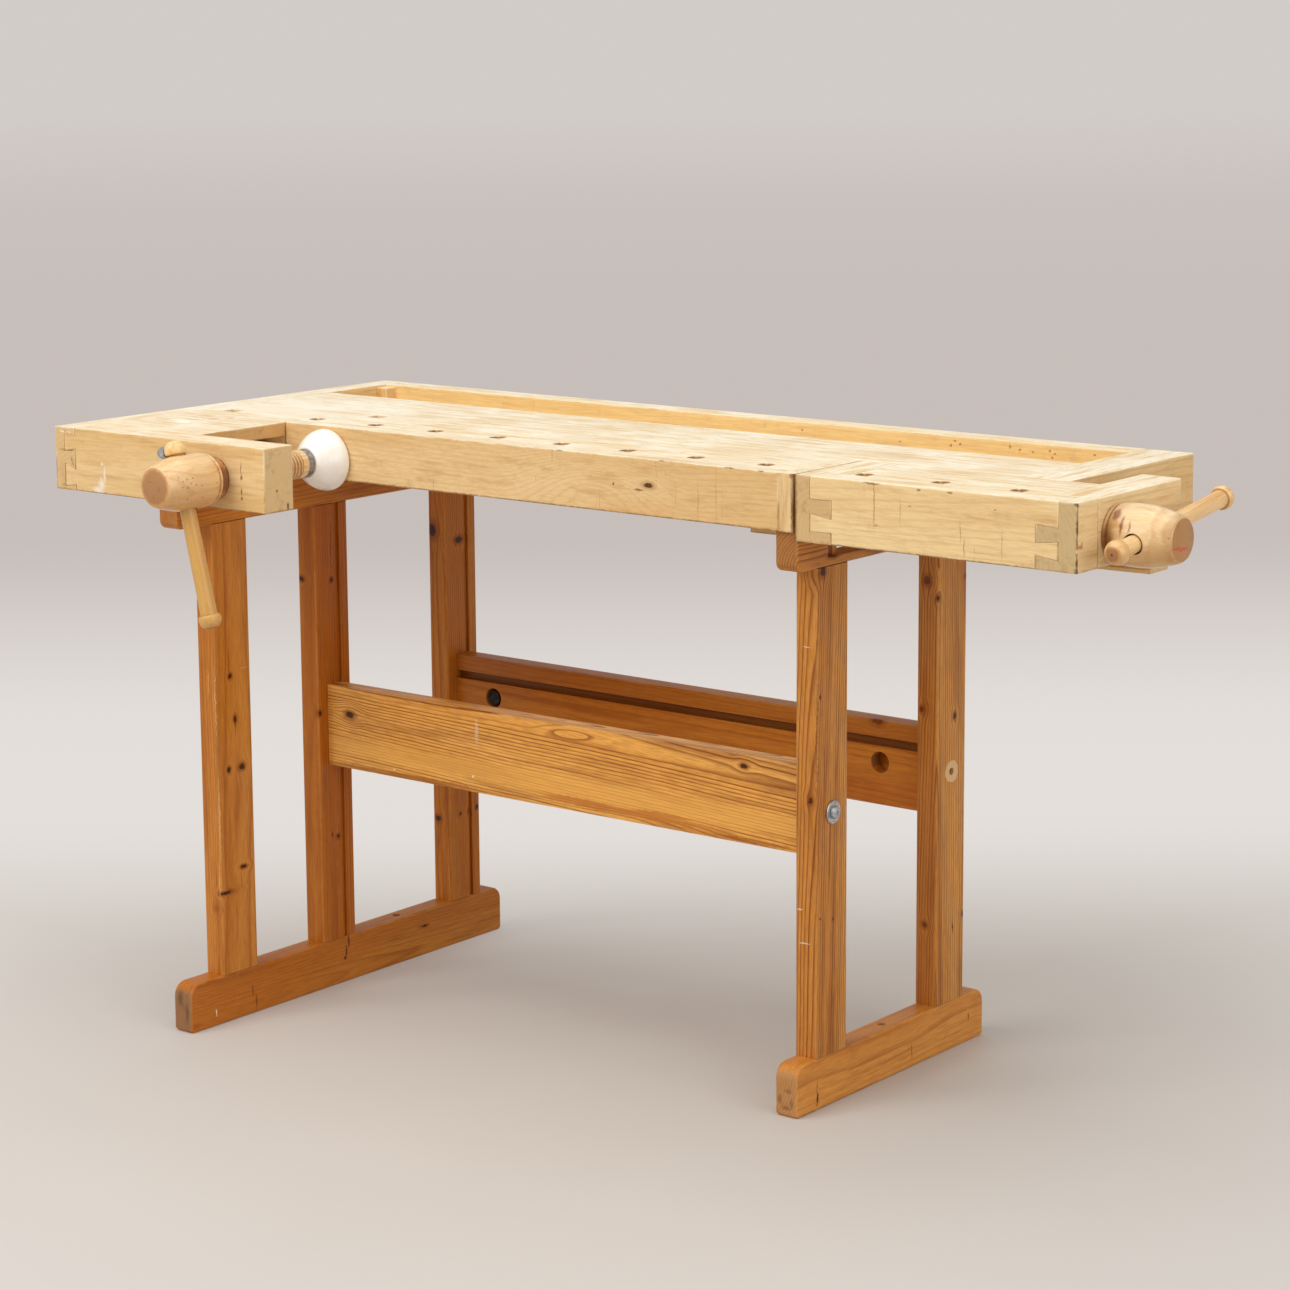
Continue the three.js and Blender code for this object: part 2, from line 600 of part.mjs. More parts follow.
const dogHoleXs = Array.from(
  { length: DOG_HOLE_COUNT },
  (_, index) => fixedJaw - FIRST_DOG_FROM_JAW - index * DOG_HOLE_SPACING,
);
const lastDogX = dogHoleXs[DOG_HOLE_COUNT - 1];
const dogStrip = block(leftCapInner, endJawInner, APRON_FACE, dogStripBack, apronUnderside, topZ);
const dogNotches = dogHoleXs.map((x) => dogNotch(x, DOG_HOLE_WIDTH, DOG_HOLE_DEPTH, apronUnderside));
dogNotches.push(dogNotch(lastDogX - LARGE_HOLE_STEP, LARGE_HOLE_WIDTH, LARGE_HOLE_WIDTH, apronUnderside));
bench.add(meshOf('dog_strip', cut(dogStrip, ...dogNotches), 'beech'));

const endJaw = block(endJawInner, fixedJaw, apronFront, rightCapFront, apronUnderside, topZ);
const endJawPilot = coachPilot(rightTrestle, coachFrontY);
bench.add(meshOf('apron_end_jaw', cut(endJaw, endJawPilot), 'beech'));

// The glued-up board between apron and tray, stepped round the tail vise
const boardShape = outline([
  [leftCapInner, dogStripBack],
  [endJawInner, dogStripBack],
  [endJawInner, rightCapFront],
  [rightCapInner, rightCapFront],
  [rightCapInner, trayFront],
  [leftCapInner, trayFront],
]);
const backHoleX = leftCapInner + BACK_HOLE_LEFT;
const backHoleY = dogStripBack + BACK_HOLE_BEHIND;
const backHole = block(
  backHoleX - LARGE_HOLE_WIDTH / 2, backHoleX + LARGE_HOLE_WIDTH / 2,
  backHoleY - LARGE_HOLE_WIDTH / 2, backHoleY + LARGE_HOLE_WIDTH / 2,
  boardUnderside - 1, topZ + 1,
);
bench.add(meshOf('top_board', cut(alongZ(boardShape, boardUnderside, topZ), backHole), 'beech'));

// Tool tray: rail under the board's back edge, thin floor, back rail and one glue block in the corner
const trayRail = block(
  leftCapInner, rightCapInner,
  trayFront - TRAY_RAIL_THICKNESS, trayFront,
  apronUnderside, boardUnderside,
);
bench.add(meshOf('tray_front_rail', trayRail, 'beech'));
const floorTop = apronUnderside + TRAY_FLOOR_THICKNESS;
const trayFloor = block(leftCapInner, rightCapInner, trayFront, railFront, apronUnderside, floorTop);
bench.add(meshOf('tray_floor', trayFloor, 'beech'));
const backRail = block(leftCapInner, rightCapInner, railFront, TOP_DEPTH, apronUnderside, topZ);
const railPilots = [leftTrestle, rightTrestle].map((x) => coachPilot(x, coachBackY));
bench.add(meshOf('back_rail', cut(backRail, ...railPilots), 'beech'));
const cornerBlock = block(
  leftCapInner, leftCapInner + TRAY_BLOCK,
  railFront - TRAY_BLOCK, railFront,
  floorTop, topZ - TRAY_BLOCK_DROP,
);
bench.add(meshOf('tray_corner_block', cornerBlock, 'beech'));

const rightCap = block(
  rightCapInner, rightCapOuter,
  rightCapFront, TOP_DEPTH,
  guideBarTopClear, topZ,
);
bench.add(meshOf('right_end_cap', rightCap, 'beech'));

// Dovetailed corners

// Half of a lapped dovetail in X and Z, from the bottom edge to the top: root is where the pins end,
// tip where the tails end, and inset is the play by which the pinned half is smaller
function dovetailLine(rootX, tipX, pins, beamHeight, inset) {
  const towardsTip = Math.sign(tipX - rootX) * inset;
  const level = (share) => topZ - share * beamHeight;
  const points = [];
  pins.forEach((pin) => {
    const atBottom = pin === pins[0] ? 0 : inset;
    const atTop = pin.rootHigh === 0 ? 0 : inset;
    if (pin !== pins[0]) points.push([tipX + towardsTip, level(pin.tipLow) + inset]);
    points.push([rootX + towardsTip, level(pin.rootLow) + atBottom]);
    points.push([rootX + towardsTip, level(pin.rootHigh) - atTop]);
    if (pin.rootHigh > 0) points.push([tipX + towardsTip, level(pin.tipHigh) - inset]);
  });
  if (pins[pins.length - 1].rootHigh > 0) points.push([tipX + towardsTip, topZ]);
  return points;
}

// Shoulder vise: end cap, beam and the slab that fills the corner between them

const shoulderRoot = leftCapInner;
const shoulderTip = leftCapOuter + SHOULDER_LAP;
const beamRight = leftCapOuter + SHOULDER_BEAM_LENGTH;
const shoulderScrewX = beamRight - SHOULDER_SCREW_FROM_END;
const shoulderBoreRadius = SHOULDER_SCREW_RADIUS + SCREW_CLEARANCE;
const tailBoreRadius = TAIL_SCREW_RADIUS + SCREW_CLEARANCE;

const beamShape = outline([
  [beamRight, topZ],
  ...dovetailLine(shoulderRoot, shoulderTip, SHOULDER_PINS, SHOULDER_HEIGHT, 0).reverse(),
  [beamRight, shoulderUnderside],
]);
const shoulderBore = toPlusY(rod(shoulderBoreRadius, SHOULDER_BEAM_THICKNESS + 2));
shoulderBore.translate(shoulderScrewX, beamFront - 1, screwZ);
bench.add(meshOf('shoulder_beam', cut(alongY(beamShape, beamFront, beamBack), shoulderBore), 'beech'));

const capPinShape = outline([
  [leftCapOuter, shoulderUnderside],
  ...dovetailLine(shoulderRoot, shoulderTip, SHOULDER_PINS, SHOULDER_HEIGHT, JOINT_GAP),
  [leftCapOuter, topZ],
]);
const capPins = alongY(capPinShape, beamFront, beamBack + 2);
const capBody = block(
  leftCapOuter, leftCapInner,
  beamBack + JOINT_GAP, TOP_DEPTH,
  shoulderUnderside, topZ,
);
bench.add(meshOf('left_end_cap', join(capBody, capPins), 'beech'));

const slab = block(
  leftCapInner, leftCapInner + SHOULDER_SLAB_WIDTH,
  beamBack, apronFront,
  boardUnderside, topZ,
);
bench.add(meshOf('shoulder_slab', slab, 'beech'));

// Turned pieces of both vises

// Barrel-shaped hub made about +Z from its back face, with a bead and a groove near the back
function hubProfile(length) {
  return [
    [0, 0],
    [HUB_RADIUS - 5, 0],
    [HUB_RADIUS - 3, 1.5],
    [HUB_RADIUS - 2.4, 5],
    [HUB_RADIUS - 4, 6],
    [HUB_RADIUS - 4, 7.5],
    [HUB_RADIUS - 1.4, 9],
    [HUB_RADIUS - 0.3, length * 0.22],
    [HUB_RADIUS, length * 0.36],
    [HUB_RADIUS - 0.5, length * 0.5],
    [HUB_RADIUS - 2.4, length * 0.66],
    [HUB_RADIUS - 5.4, length * 0.8],
    [HUB_END_RADIUS + 3.2, length * 0.93],
    [HUB_END_RADIUS + 1.2, length * 0.98],
    [HUB_END_RADIUS - 1, length],
    [0, length],
  ];
}

// Hub with the socket for its screw and the cross hole for its handle
function hub(length, socketRadius, handleFromBack, holeTilt) {
  const socket = rod(socketRadius, HUB_SOCKET + 1).translate(0, 0, -1);
  const hole = rod(HANDLE_RADIUS + HANDLE_CLEARANCE, 4 * HUB_RADIUS).translate(0, 0, -2 * HUB_RADIUS);
  hole.rotateX(Math.PI / 2).rotateZ(holeTilt).translate(0, 0, handleFromBack);
  return cut(turned(hubProfile(length)), socket, hole);
}

// Mushroom knob made about +Z, with a socket in its flat face for the end of the handle
function knob() {
  const profile = [
    [0, 0],
    [KNOB_RADIUS - 2.5, 0],
    [KNOB_RADIUS - 0.6, 1.5],
    [KNOB_RADIUS, 5],
    [KNOB_RADIUS - 0.6, 10],
    [KNOB_RADIUS - 3, 15],
    [KNOB_RADIUS - 7, KNOB_HEIGHT - 1],
    [0, KNOB_HEIGHT],
  ];
  const socket = rod(HANDLE_RADIUS + JOINT_GAP, KNOB_SOCKET + 1).translate(0, 0, -1);
  return cut(turned(profile), socket);
}

// Loose handle along its group's Z: a rod with a knob on each end, the upper one's flat face at highFace
function handle(prefix, rodLength, highFace, pinHoles) {
  const group = new THREE.Group();
  const lowFace = highFace - rodLength + 2 * KNOB_SOCKET;
  const inset = KNOB_SOCKET - JOINT_GAP;
  const bar = turned([
    [0, lowFace - inset],
    [HANDLE_RADIUS, lowFace - inset],
    [HANDLE_RADIUS, highFace + inset],
    [0, highFace + inset],
  ]);
  group.add(meshOf(prefix + '_handle', cut(bar, ...pinHoles), 'turnedBeech'));
  const lowKnob = knob().rotateX(Math.PI).translate(0, 0, lowFace);
  group.add(meshOf(prefix + '_handle_lower_knob', lowKnob, 'turnedBeech'));
  const highKnob = cut(knob().translate(0, 0, highFace), ...pinHoles);
  group.add(meshOf(prefix + '_handle_upper_knob', highKnob, 'turnedBeech'));
  return group;
}

// Shoulder vise: screw, hub, collar, ferrule and swivel pad on one line along Y

const padFace = apronFront - PAD_FACE_GAP;
const padBack = padFace - PAD_DEPTH;
const ferruleStart = padBack - JOINT_GAP - FERRULE_LENGTH;
const shoulderHubBack = beamFront - COLLAR_THICKNESS - SLIDE_GAP;
const shoulderHubFront = shoulderHubBack - SHOULDER_HUB_LENGTH;
const ferruleRadius = SHOULDER_SCREW_RADIUS - FERRULE_STEP;
const neckRadius = ferruleRadius - FERRULE_WALL;

const collar = toMinusY(ring(COLLAR_RADIUS, shoulderBoreRadius, COLLAR_THICKNESS));
bench.add(meshOf('shoulder_collar', collar.translate(shoulderScrewX, beamFront, screwZ), 'darkCollar'));

const screwStart = shoulderHubBack - HUB_SOCKET + JOINT_GAP;
const shoulderScrew = toPlusY(turned([
  [0, 0],
  [SHOULDER_SCREW_RADIUS, 0],
  [SHOULDER_SCREW_RADIUS, ferruleStart - screwStart],
  [neckRadius - JOINT_GAP, ferruleStart - screwStart],
  [neckRadius - JOINT_GAP, ferruleStart + FERRULE_LENGTH - screwStart],
  [SWIVEL_RADIUS, ferruleStart + FERRULE_LENGTH - screwStart],
  [SWIVEL_RADIUS, ferruleStart + FERRULE_LENGTH + SWIVEL_LENGTH - screwStart],
  [0, ferruleStart + FERRULE_LENGTH + SWIVEL_LENGTH - screwStart],
]));
bench.add(meshOf('shoulder_screw', shoulderScrew.translate(shoulderScrewX, screwStart, screwZ), 'turnedBeech'));

const ferrule = toPlusY(ring(ferruleRadius, neckRadius, FERRULE_LENGTH - JOINT_GAP));
ferrule.translate(shoulderScrewX, ferruleStart + JOINT_GAP, screwZ);
bench.add(meshOf('shoulder_ferrule', ferrule, 'zinc'));

const shoulderTilt = THREE.MathUtils.degToRad(SHOULDER_HANDLE_TILT);
const shoulderHub = toMinusY(
  hub(SHOULDER_HUB_LENGTH, shoulderBoreRadius, SHOULDER_HANDLE_FROM_BACK, shoulderTilt),
);
shoulderHub.translate(shoulderScrewX, shoulderHubBack, screwZ);
bench.add(meshOf('shoulder_hub', shoulderHub, 'turnedBeech'));

// Domed pad about +Z from its flat face: a rounded rim, then the full dome that narrows to the ferrule
const padSwivelDepth = SWIVEL_LENGTH + 2 * JOINT_GAP;
const padProfile = [
  [0, 0],
  [PAD_RADIUS - 3.7, 0],
  [PAD_RADIUS - 0.9, 1.5],
  [PAD_RADIUS, PAD_DEPTH * 0.09],
  [PAD_RADIUS - 0.2, PAD_DEPTH * 0.18],
  [PAD_RADIUS - 1.7, PAD_DEPTH * 0.31],
  [PAD_RADIUS - 4.1, PAD_DEPTH * 0.44],
  [PAD_RADIUS - 7.5, PAD_DEPTH * 0.58],
  [PAD_RADIUS - 11.7, PAD_DEPTH * 0.71],
  [PAD_BACK_RADIUS + 5, PAD_DEPTH * 0.84],
  [PAD_BACK_RADIUS + 1.8, PAD_DEPTH * 0.93],
  [PAD_BACK_RADIUS, PAD_DEPTH],
  [0, PAD_DEPTH],
];
const swivelSocket = rod(SWIVEL_RADIUS + JOINT_GAP, padSwivelDepth + 1);
const pad = toMinusY(cut(turned(padProfile), swivelSocket.translate(0, 0, PAD_DEPTH - padSwivelDepth)));
bench.add(meshOf('shoulder_pad', pad.translate(shoulderScrewX, padFace, screwZ), 'whitePad'));

// The loose handle hangs through the hub; its upper knob rests on the hub and is pinned by a cap-nut bolt
const shoulderKnobFace = HUB_RADIUS + JOINT_GAP;
const knobBoltZ = shoulderKnobFace + KNOB_SOCKET / 2;
const knobBoltTip = KNOB_RADIUS - KNOB_BOLT_BITE;
const knobBoltHole = toMinusX(rod(KNOB_BOLT_RADIUS + JOINT_GAP, KNOB_BOLT_BITE + 2, BOLT_SIDES));
knobBoltHole.translate(-knobBoltTip, 0, knobBoltZ);
const shoulderHandle = handle('shoulder', SHOULDER_ROD_LENGTH, shoulderKnobFace, [knobBoltHole]);
const knobBoltShank = toMinusX(rod(KNOB_BOLT_RADIUS, KNOB_BOLT_BITE + 1, BOLT_SIDES));
const capNut = toMinusX(turned([
  [0, 0],
  [CAP_NUT_RADIUS, 0],
  [CAP_NUT_RADIUS, CAP_NUT_HEIGHT * 0.45],
  [CAP_NUT_RADIUS * 0.86, CAP_NUT_HEIGHT * 0.5],
  [CAP_NUT_RADIUS * 0.8, CAP_NUT_HEIGHT * 0.7],
  [CAP_NUT_RADIUS * 0.55, CAP_NUT_HEIGHT * 0.92],
  [0, CAP_NUT_HEIGHT],
], BOLT_SIDES));
const knobBolt = join(
  knobBoltShank.translate(-knobBoltTip - JOINT_GAP, 0, knobBoltZ),
  capNut.translate(-KNOB_RADIUS - JOINT_GAP, 0, knobBoltZ),
);
shoulderHandle.add(meshOf('shoulder_knob_bolt', knobBolt, 'zinc'));
shoulderHandle.position.set(shoulderScrewX, shoulderHubBack - SHOULDER_HANDLE_FROM_BACK, screwZ);
shoulderHandle.rotation.y = -shoulderTilt;
bench.add(shoulderHandle);

// Tail vise carriage: a dovetailed box that slides along the bench on a guide bar

const jawTip = viseLeft + JAW_LAP;
const endTip = viseRight - END_LAP;
const tailBeamShape = outline([
  ...dovetailLine(endBlockLeft, endTip, END_PINS, VISE_HEIGHT, 0),
  ...dovetailLine(jawBlockRight, jawTip, JAW_PINS, VISE_HEIGHT, 0).reverse(),
]);
bench.add(meshOf('tail_beam', alongY(tailBeamShape, apronFront, APRON_FACE), 'beech'));

const tailStrip = block(jawBlockRight, endBlockLeft, APRON_FACE, viseStripBack, viseUnderside, topZ);
const tailNotches = Array.from({ length: VISE_DOG_COUNT }, (_, index) => {
  const x = viseLeft + VISE_DOG_FROM_JAW + index * DOG_HOLE_SPACING;
  return dogNotch(x, DOG_HOLE_WIDTH, DOG_HOLE_DEPTH, viseUnderside);
});
bench.add(meshOf('tail_dog_strip', cut(tailStrip, ...tailNotches), 'beech'));

const jawPinShape = outline([
  [viseLeft, topZ],
  [viseLeft, viseUnderside],
  ...dovetailLine(jawBlockRight, jawTip, JAW_PINS, VISE_HEIGHT, JOINT_GAP),
]);
const jawPins = alongY(jawPinShape, apronFront, APRON_FACE + 2);
const jawBody = block(
  viseLeft, jawBlockRight,
  APRON_FACE + JOINT_GAP, VISE_DEPTH,
  viseUnderside, topZ,
);
bench.add(meshOf('tail_jaw_block', join(jawBody, jawPins), 'beech'));

const tailScrewBore = toPlusX(rod(tailBoreRadius, END_LAP + END_PIN_LENGTH + 2));
tailScrewBore.translate(endBlockLeft - 1, TAIL_SCREW_BEHIND, screwZ);

const endPinShape = outline([
  [viseRight, viseUnderside],
  [viseRight, topZ],
  ...dovetailLine(endBlockLeft, endTip, END_PINS, VISE_HEIGHT, JOINT_GAP).reverse(),
]);
const endPins = alongY(endPinShape, apronFront, APRON_FACE + 2);
const endCorner = block(endBlockLeft, viseRight, APRON_FACE + JOINT_GAP, END_STEP, viseUnderside, topZ);
const endLayer = block(
  endBlockLeft, screwBlockLeft,
  END_STEP - 1, END_REACH,
  viseUnderside, topZ,
);
bench.add(meshOf('tail_end_block', cut(join(endCorner, endPins, endLayer), tailScrewBore), 'beech'));

const screwBlockShape = new THREE.Shape();
screwBlockShape.moveTo(screwBlockLeft, END_STEP);
screwBlockShape.lineTo(viseRight, END_STEP);
screwBlockShape.lineTo(viseRight, END_REACH - END_ROUND);
screwBlockShape.absarc(viseRight - END_ROUND, END_REACH - END_ROUND, END_ROUND, 0, Math.PI / 2);
screwBlockShape.lineTo(screwBlockLeft, END_REACH);
const screwBlock = cut(alongZ(screwBlockShape, viseUnderside, topZ), tailScrewBore);
bench.add(meshOf('tail_screw_block', screwBlock, 'beech'));

const visePlate = block(
  jawBlockRight, endBlockLeft,
  viseStripBack, VISE_DEPTH,
  visePlateUnderside, topZ,
);
bench.add(meshOf('tail_top_plate', visePlate, 'beech'));

// Guide bar under the end block, grooved along its front; it rides in the right bearer's notch and is
// thicker at its far end
const guideBar = alongY(outline([
  [viseRight - GUIDE_BAR_LENGTH, guideBarUnderside],
  [viseRight, guideBarUnderside + GUIDE_BAR_TAPER],
  [viseRight, viseUnderside],
  [viseRight - GUIDE_BAR_LENGTH, viseUnderside],
]), GUIDE_BAR_BEHIND, guideBarBack);
const guideGroove = block(
  viseRight - GUIDE_BAR_LENGTH - 1, viseRight + 1,
  GUIDE_BAR_BEHIND - 1, GUIDE_BAR_BEHIND + GUIDE_GROOVE,
  guideBarUnderside + 2 * GUIDE_GROOVE, guideBarUnderside + 3 * GUIDE_GROOVE,
);
bench.add(meshOf('tail_guide_bar', cut(guideBar, guideGroove), 'beech'));

// Keeper under the board that holds the bar down on the bearer
const keeperMiddle = GUIDE_BAR_BEHIND + GUIDE_BAR_WIDTH / 2;
const keeper = block(
  rightCapInner - KEEPER_LENGTH, rightCapInner,
  keeperMiddle - KEEPER_WIDTH / 2, keeperMiddle + KEEPER_WIDTH / 2,
  guideBarTopClear, boardUnderside,
);
bench.add(meshOf('tail_guide_keeper', keeper, 'beech'));

// Threaded nut block on the front end of the right cap, inside the carriage
const nutBlock = block(
  rightCapInner + NUT_BLOCK_CLEARANCE, rightCapOuter - NUT_BLOCK_CLEARANCE,
  viseStripBack + NUT_BLOCK_CLEARANCE, rightCapFront,
  viseUnderside + NUT_BLOCK_CLEARANCE, visePlateUnderside - NUT_BLOCK_CLEARANCE,
);
const nutBore = toPlusX(rod(tailBoreRadius, RIGHT_CAP_THICKNESS + 2));
nutBore.translate(rightCapInner - 1, TAIL_SCREW_BEHIND, screwZ);
bench.add(meshOf('tail_nut_block', cut(nutBlock, nutBore), 'beech'));

// Tail screw, the collar that holds it in the end block, its hub and handle
const tailHubBack = viseRight + SLIDE_GAP;
const tailScrewEnd = tailHubBack + HUB_SOCKET - JOINT_GAP;
const tailScrewStart = jawBlockRight + TAIL_SCREW_JAW_CLEARANCE;
const tailScrew = toPlusX(rod(TAIL_SCREW_RADIUS, tailScrewEnd - tailScrewStart));
tailScrew.translate(tailScrewStart, TAIL_SCREW_BEHIND, screwZ);
bench.add(meshOf('tail_screw', tailScrew, 'turnedBeech'));
const tailCollar = toMinusX(ring(TAIL_COLLAR_RADIUS, tailBoreRadius, TAIL_COLLAR_THICKNESS));
tailCollar.translate(endBlockLeft - SLIDE_GAP, TAIL_SCREW_BEHIND, screwZ);
bench.add(meshOf('tail_screw_collar', tailCollar, 'darkCollar'));

const tailTilt = THREE.MathUtils.degToRad(TAIL_HANDLE_TILT);
const tailHub = toPlusX(hub(TAIL_HUB_LENGTH, tailBoreRadius, TAIL_HANDLE_FROM_BACK, tailTilt));
tailHub.translate(tailHubBack, TAIL_SCREW_BEHIND, screwZ);
bench.add(meshOf('tail_hub', tailHub, 'turnedBeech'));

// Its handle lies nearly level, the long end rising to the back
const tailHandle = handle('tail', TAIL_ROD_LENGTH, TAIL_KNOB_FROM_AXIS, []);
tailHandle.position.set(tailHubBack + TAIL_HANDLE_FROM_BACK, TAIL_SCREW_BEHIND, screwZ);
tailHandle.rotation.x = Math.PI / 2 + tailTilt;
bench.add(tailHandle);

// Origin on the floor under the middle of the whole bench
bench.updateMatrixWorld(true);
const reach = new THREE.Box3().setFromObject(bench, true);
bench.position.set(-(reach.min.x + reach.max.x) / 2, -(reach.min.y + reach.max.y) / 2, -reach.min.z);

export default bench;
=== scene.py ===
import math
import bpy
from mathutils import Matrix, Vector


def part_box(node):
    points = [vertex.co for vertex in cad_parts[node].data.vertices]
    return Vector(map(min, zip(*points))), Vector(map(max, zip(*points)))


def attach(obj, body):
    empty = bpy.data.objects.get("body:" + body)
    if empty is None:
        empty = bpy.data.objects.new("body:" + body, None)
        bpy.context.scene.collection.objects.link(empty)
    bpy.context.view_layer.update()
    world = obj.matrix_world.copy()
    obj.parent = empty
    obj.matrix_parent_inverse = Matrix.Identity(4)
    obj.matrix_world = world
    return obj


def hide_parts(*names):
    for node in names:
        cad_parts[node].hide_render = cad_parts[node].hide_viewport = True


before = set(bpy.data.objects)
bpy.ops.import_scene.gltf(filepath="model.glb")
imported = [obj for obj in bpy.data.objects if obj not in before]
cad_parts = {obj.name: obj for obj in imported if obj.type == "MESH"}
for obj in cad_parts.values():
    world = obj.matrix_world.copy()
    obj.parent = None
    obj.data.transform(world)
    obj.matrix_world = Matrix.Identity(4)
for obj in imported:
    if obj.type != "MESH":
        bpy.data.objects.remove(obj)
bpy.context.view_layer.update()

from types import SimpleNamespace

import bmesh
import bpy
from mathutils import Matrix, Vector

# Studio
# A seamless pale floor that runs back to the horizon, under three broad soft lamps: one overhead, one in
# front and one to the right. The camera stands at the right front corner, a little above the bench.


def tone(red, green, blue):
    """A colour as seen on a screen, 0 to 255, turned into the light it reflects."""
    return tuple((part / 255) ** 2.2 for part in (red, green, blue)) + (1.0,)


def feed(node, feeds):
    """Links or sets the inputs of a shader node."""
    for socket, value in feeds.items():
        if isinstance(value, bpy.types.NodeSocket):
            value.id_data.links.new(value, node.inputs[socket])
        else:
            node.inputs[socket].default_value = value


def add(kind, feeds, **settings):
    """One more shader node, in the tree of what feeds it."""
    feeds = dict(feeds)
    tree = next(value.id_data for value in feeds.values() if isinstance(value, bpy.types.NodeSocket))
    node = tree.nodes.new("ShaderNode" + kind)
    for key, value in settings.items():
        setattr(node, key, value)
    feed(node, feeds)
    return node


def sums(operation, *terms):
    """Arithmetic on values."""
    return add("Math", enumerate(terms), operation=operation).outputs[0]


def times(first, second):
    return sums("MULTIPLY", first, second)


def vectors(operation, *terms):
    """Arithmetic on places and directions."""
    made = add("VectorMath", enumerate(terms), operation=operation).outputs
    return made["Value"] if operation in ("LENGTH", "DOT_PRODUCT") else made[0]


def fade(value, start, end, first=0.0, last=1.0):
    """Goes softly from first, at start, to last, at end."""
    feeds = {"Value": value, "From Min": start, "From Max": end, "To Min": first, "To Max": last}
    return add("MapRange", feeds, interpolation_type="SMOOTHSTEP").outputs[0]


def cloudy(spot, scale, detail=2.0, roughness=0.55, output=0):
    """Soft clouds of light and dark; a larger scale makes them smaller."""
    feeds = {"Vector": spot, "Scale": scale, "Detail": detail, "Roughness": roughness}
    return add("TexNoise", feeds).outputs[output]


def tint(amount, under, over):
    """Lays one colour over another by an amount from 0 to 1."""
    return add("Mix", {0: amount, 6: under, 7: over}, data_type="RGBA").outputs[2]


def finish_named(name):
    """A new material, the coordinates it is laid out by, and its surface shader."""
    material = bpy.data.materials.new(name)
    material.use_nodes = True
    nodes = material.node_tree.nodes
    return material, nodes.new("ShaderNodeTexCoord").outputs, nodes["Principled BSDF"]


def put(name, data):
    """A new object in the scene."""
    made = bpy.data.objects.new(name, data)
    bpy.context.scene.collection.objects.link(made)
    return made


floor_mesh = bpy.data.meshes.new("studio_floor")
far = 3000.0
floor_mesh.from_pydata([(-far, -far, 0), (far, -far, 0), (far, far, 0), (-far, far, 0)], [], [(0, 1, 2, 3)])
floor = put("studio_floor", floor_mesh)
floor_paint, coordinates, shader = finish_named("floor_paint")
floor_spot = coordinates["Object"]
floor_patches = cloudy(floor_spot, 1.3, 4.0)
floor_colour = tint(floor_patches, tone(207, 199, 191), tone(198, 190, 181))
feed(shader, {"Base Color": floor_colour, "Roughness": 0.7})

# Further off, for camera, glossy and transmission rays, the floor glows as a backdrop instead of being lit: a
# painted gradient, pale near the bench, darker behind it and pale again far off.
away_from_camera = (-0.62, 0.785, 0)
away = times(vectors("LENGTH", floor_spot), 0.6)
away = sums("MAXIMUM", vectors("DOT_PRODUCT", floor_spot, away_from_camera), away)
distant = tint(fade(away, 1.8, 4.6), tone(227, 222, 217), tone(198, 189, 185))
distant = tint(fade(away, 9.0, 40.0), distant, tone(209, 203, 200))
floor_nodes = floor_paint.node_tree.nodes
rays = floor_nodes.new("ShaderNodeLightPath").outputs
seen = sums("MAXIMUM", rays["Is Camera Ray"], rays["Is Glossy Ray"])
seen = sums("MAXIMUM", seen, rays["Is Transmission Ray"])
seen = times(seen, fade(away, 0.15, 1.4))
backdrop_glow = add("Emission", {"Color": distant}).outputs[0]
floor_look = add("MixShader", {0: seen, 1: shader.outputs[0], 2: backdrop_glow}).outputs[0]
feed(floor_nodes["Material Output"], {"Surface": floor_look})
floor_mesh.materials.append(floor_paint)

world = bpy.data.worlds.new("studio_air")
bpy.context.scene.world = world
world.use_nodes = True
air_nodes = world.node_tree.nodes
rays = air_nodes.new("ShaderNodeLightPath").outputs
seen = sums("MAXIMUM", rays["Is Camera Ray"], rays["Is Transmission Ray"])
air_colour = tint(seen, (0.46, 0.455, 0.45, 1.0), tone(209, 203, 200))
feed(air_nodes["Background"], {"Color": air_colour})


def lamp(name, power, size, place, target):
    light = bpy.data.lights.new(name, "AREA")
    light.energy = power
    light.size = size
    holder = put(name, light)
    holder.location = place
    holder.rotation_euler = (Vector(target) - Vector(place)).to_track_quat("-Z", "Y").to_euler()


lamp("overhead_lamp", 73.0, 4.0, (0.0, -0.5, 3.9), (0.0, 0.0, 0.5))
lamp("front_lamp", 88.0, 3.0, (-1.2, -3.4, 3.2), (0.0, 0.0, 0.6))
lamp("right_lamp", 52.0, 3.0, (4.2, -0.8, 1.9), (0.0, 0.0, 0.4))

camera = put("camera", bpy.data.cameras.new("camera"))
camera.data.sensor_width = 36.0
camera.data.lens = 91.306
camera.data.shift_y = -0.0775
right = Vector((0.78482225, 0.61968464, -0.00670715))
up = Vector((-0.09690516, 0.13340443, 0.98631265))
back = Vector((0.61209757, -0.77343015, 0.1647494))
stand = Matrix.Translation((2.69386, -3.37767, 1.44184))
camera.matrix_world = stand @ Matrix((right, up, back)).transposed().to_4x4()
bpy.context.scene.camera = camera
bpy.context.scene.view_settings.view_transform = "Standard"

# Feet
# Two sled feet of knotty pine, lacquered honey-orange, with rounded upper corners and small chamfers at the
# toes. The posts stand in mortises in their upper edge. The left foot is longer, because it also carries the
# shoulder vise's post.

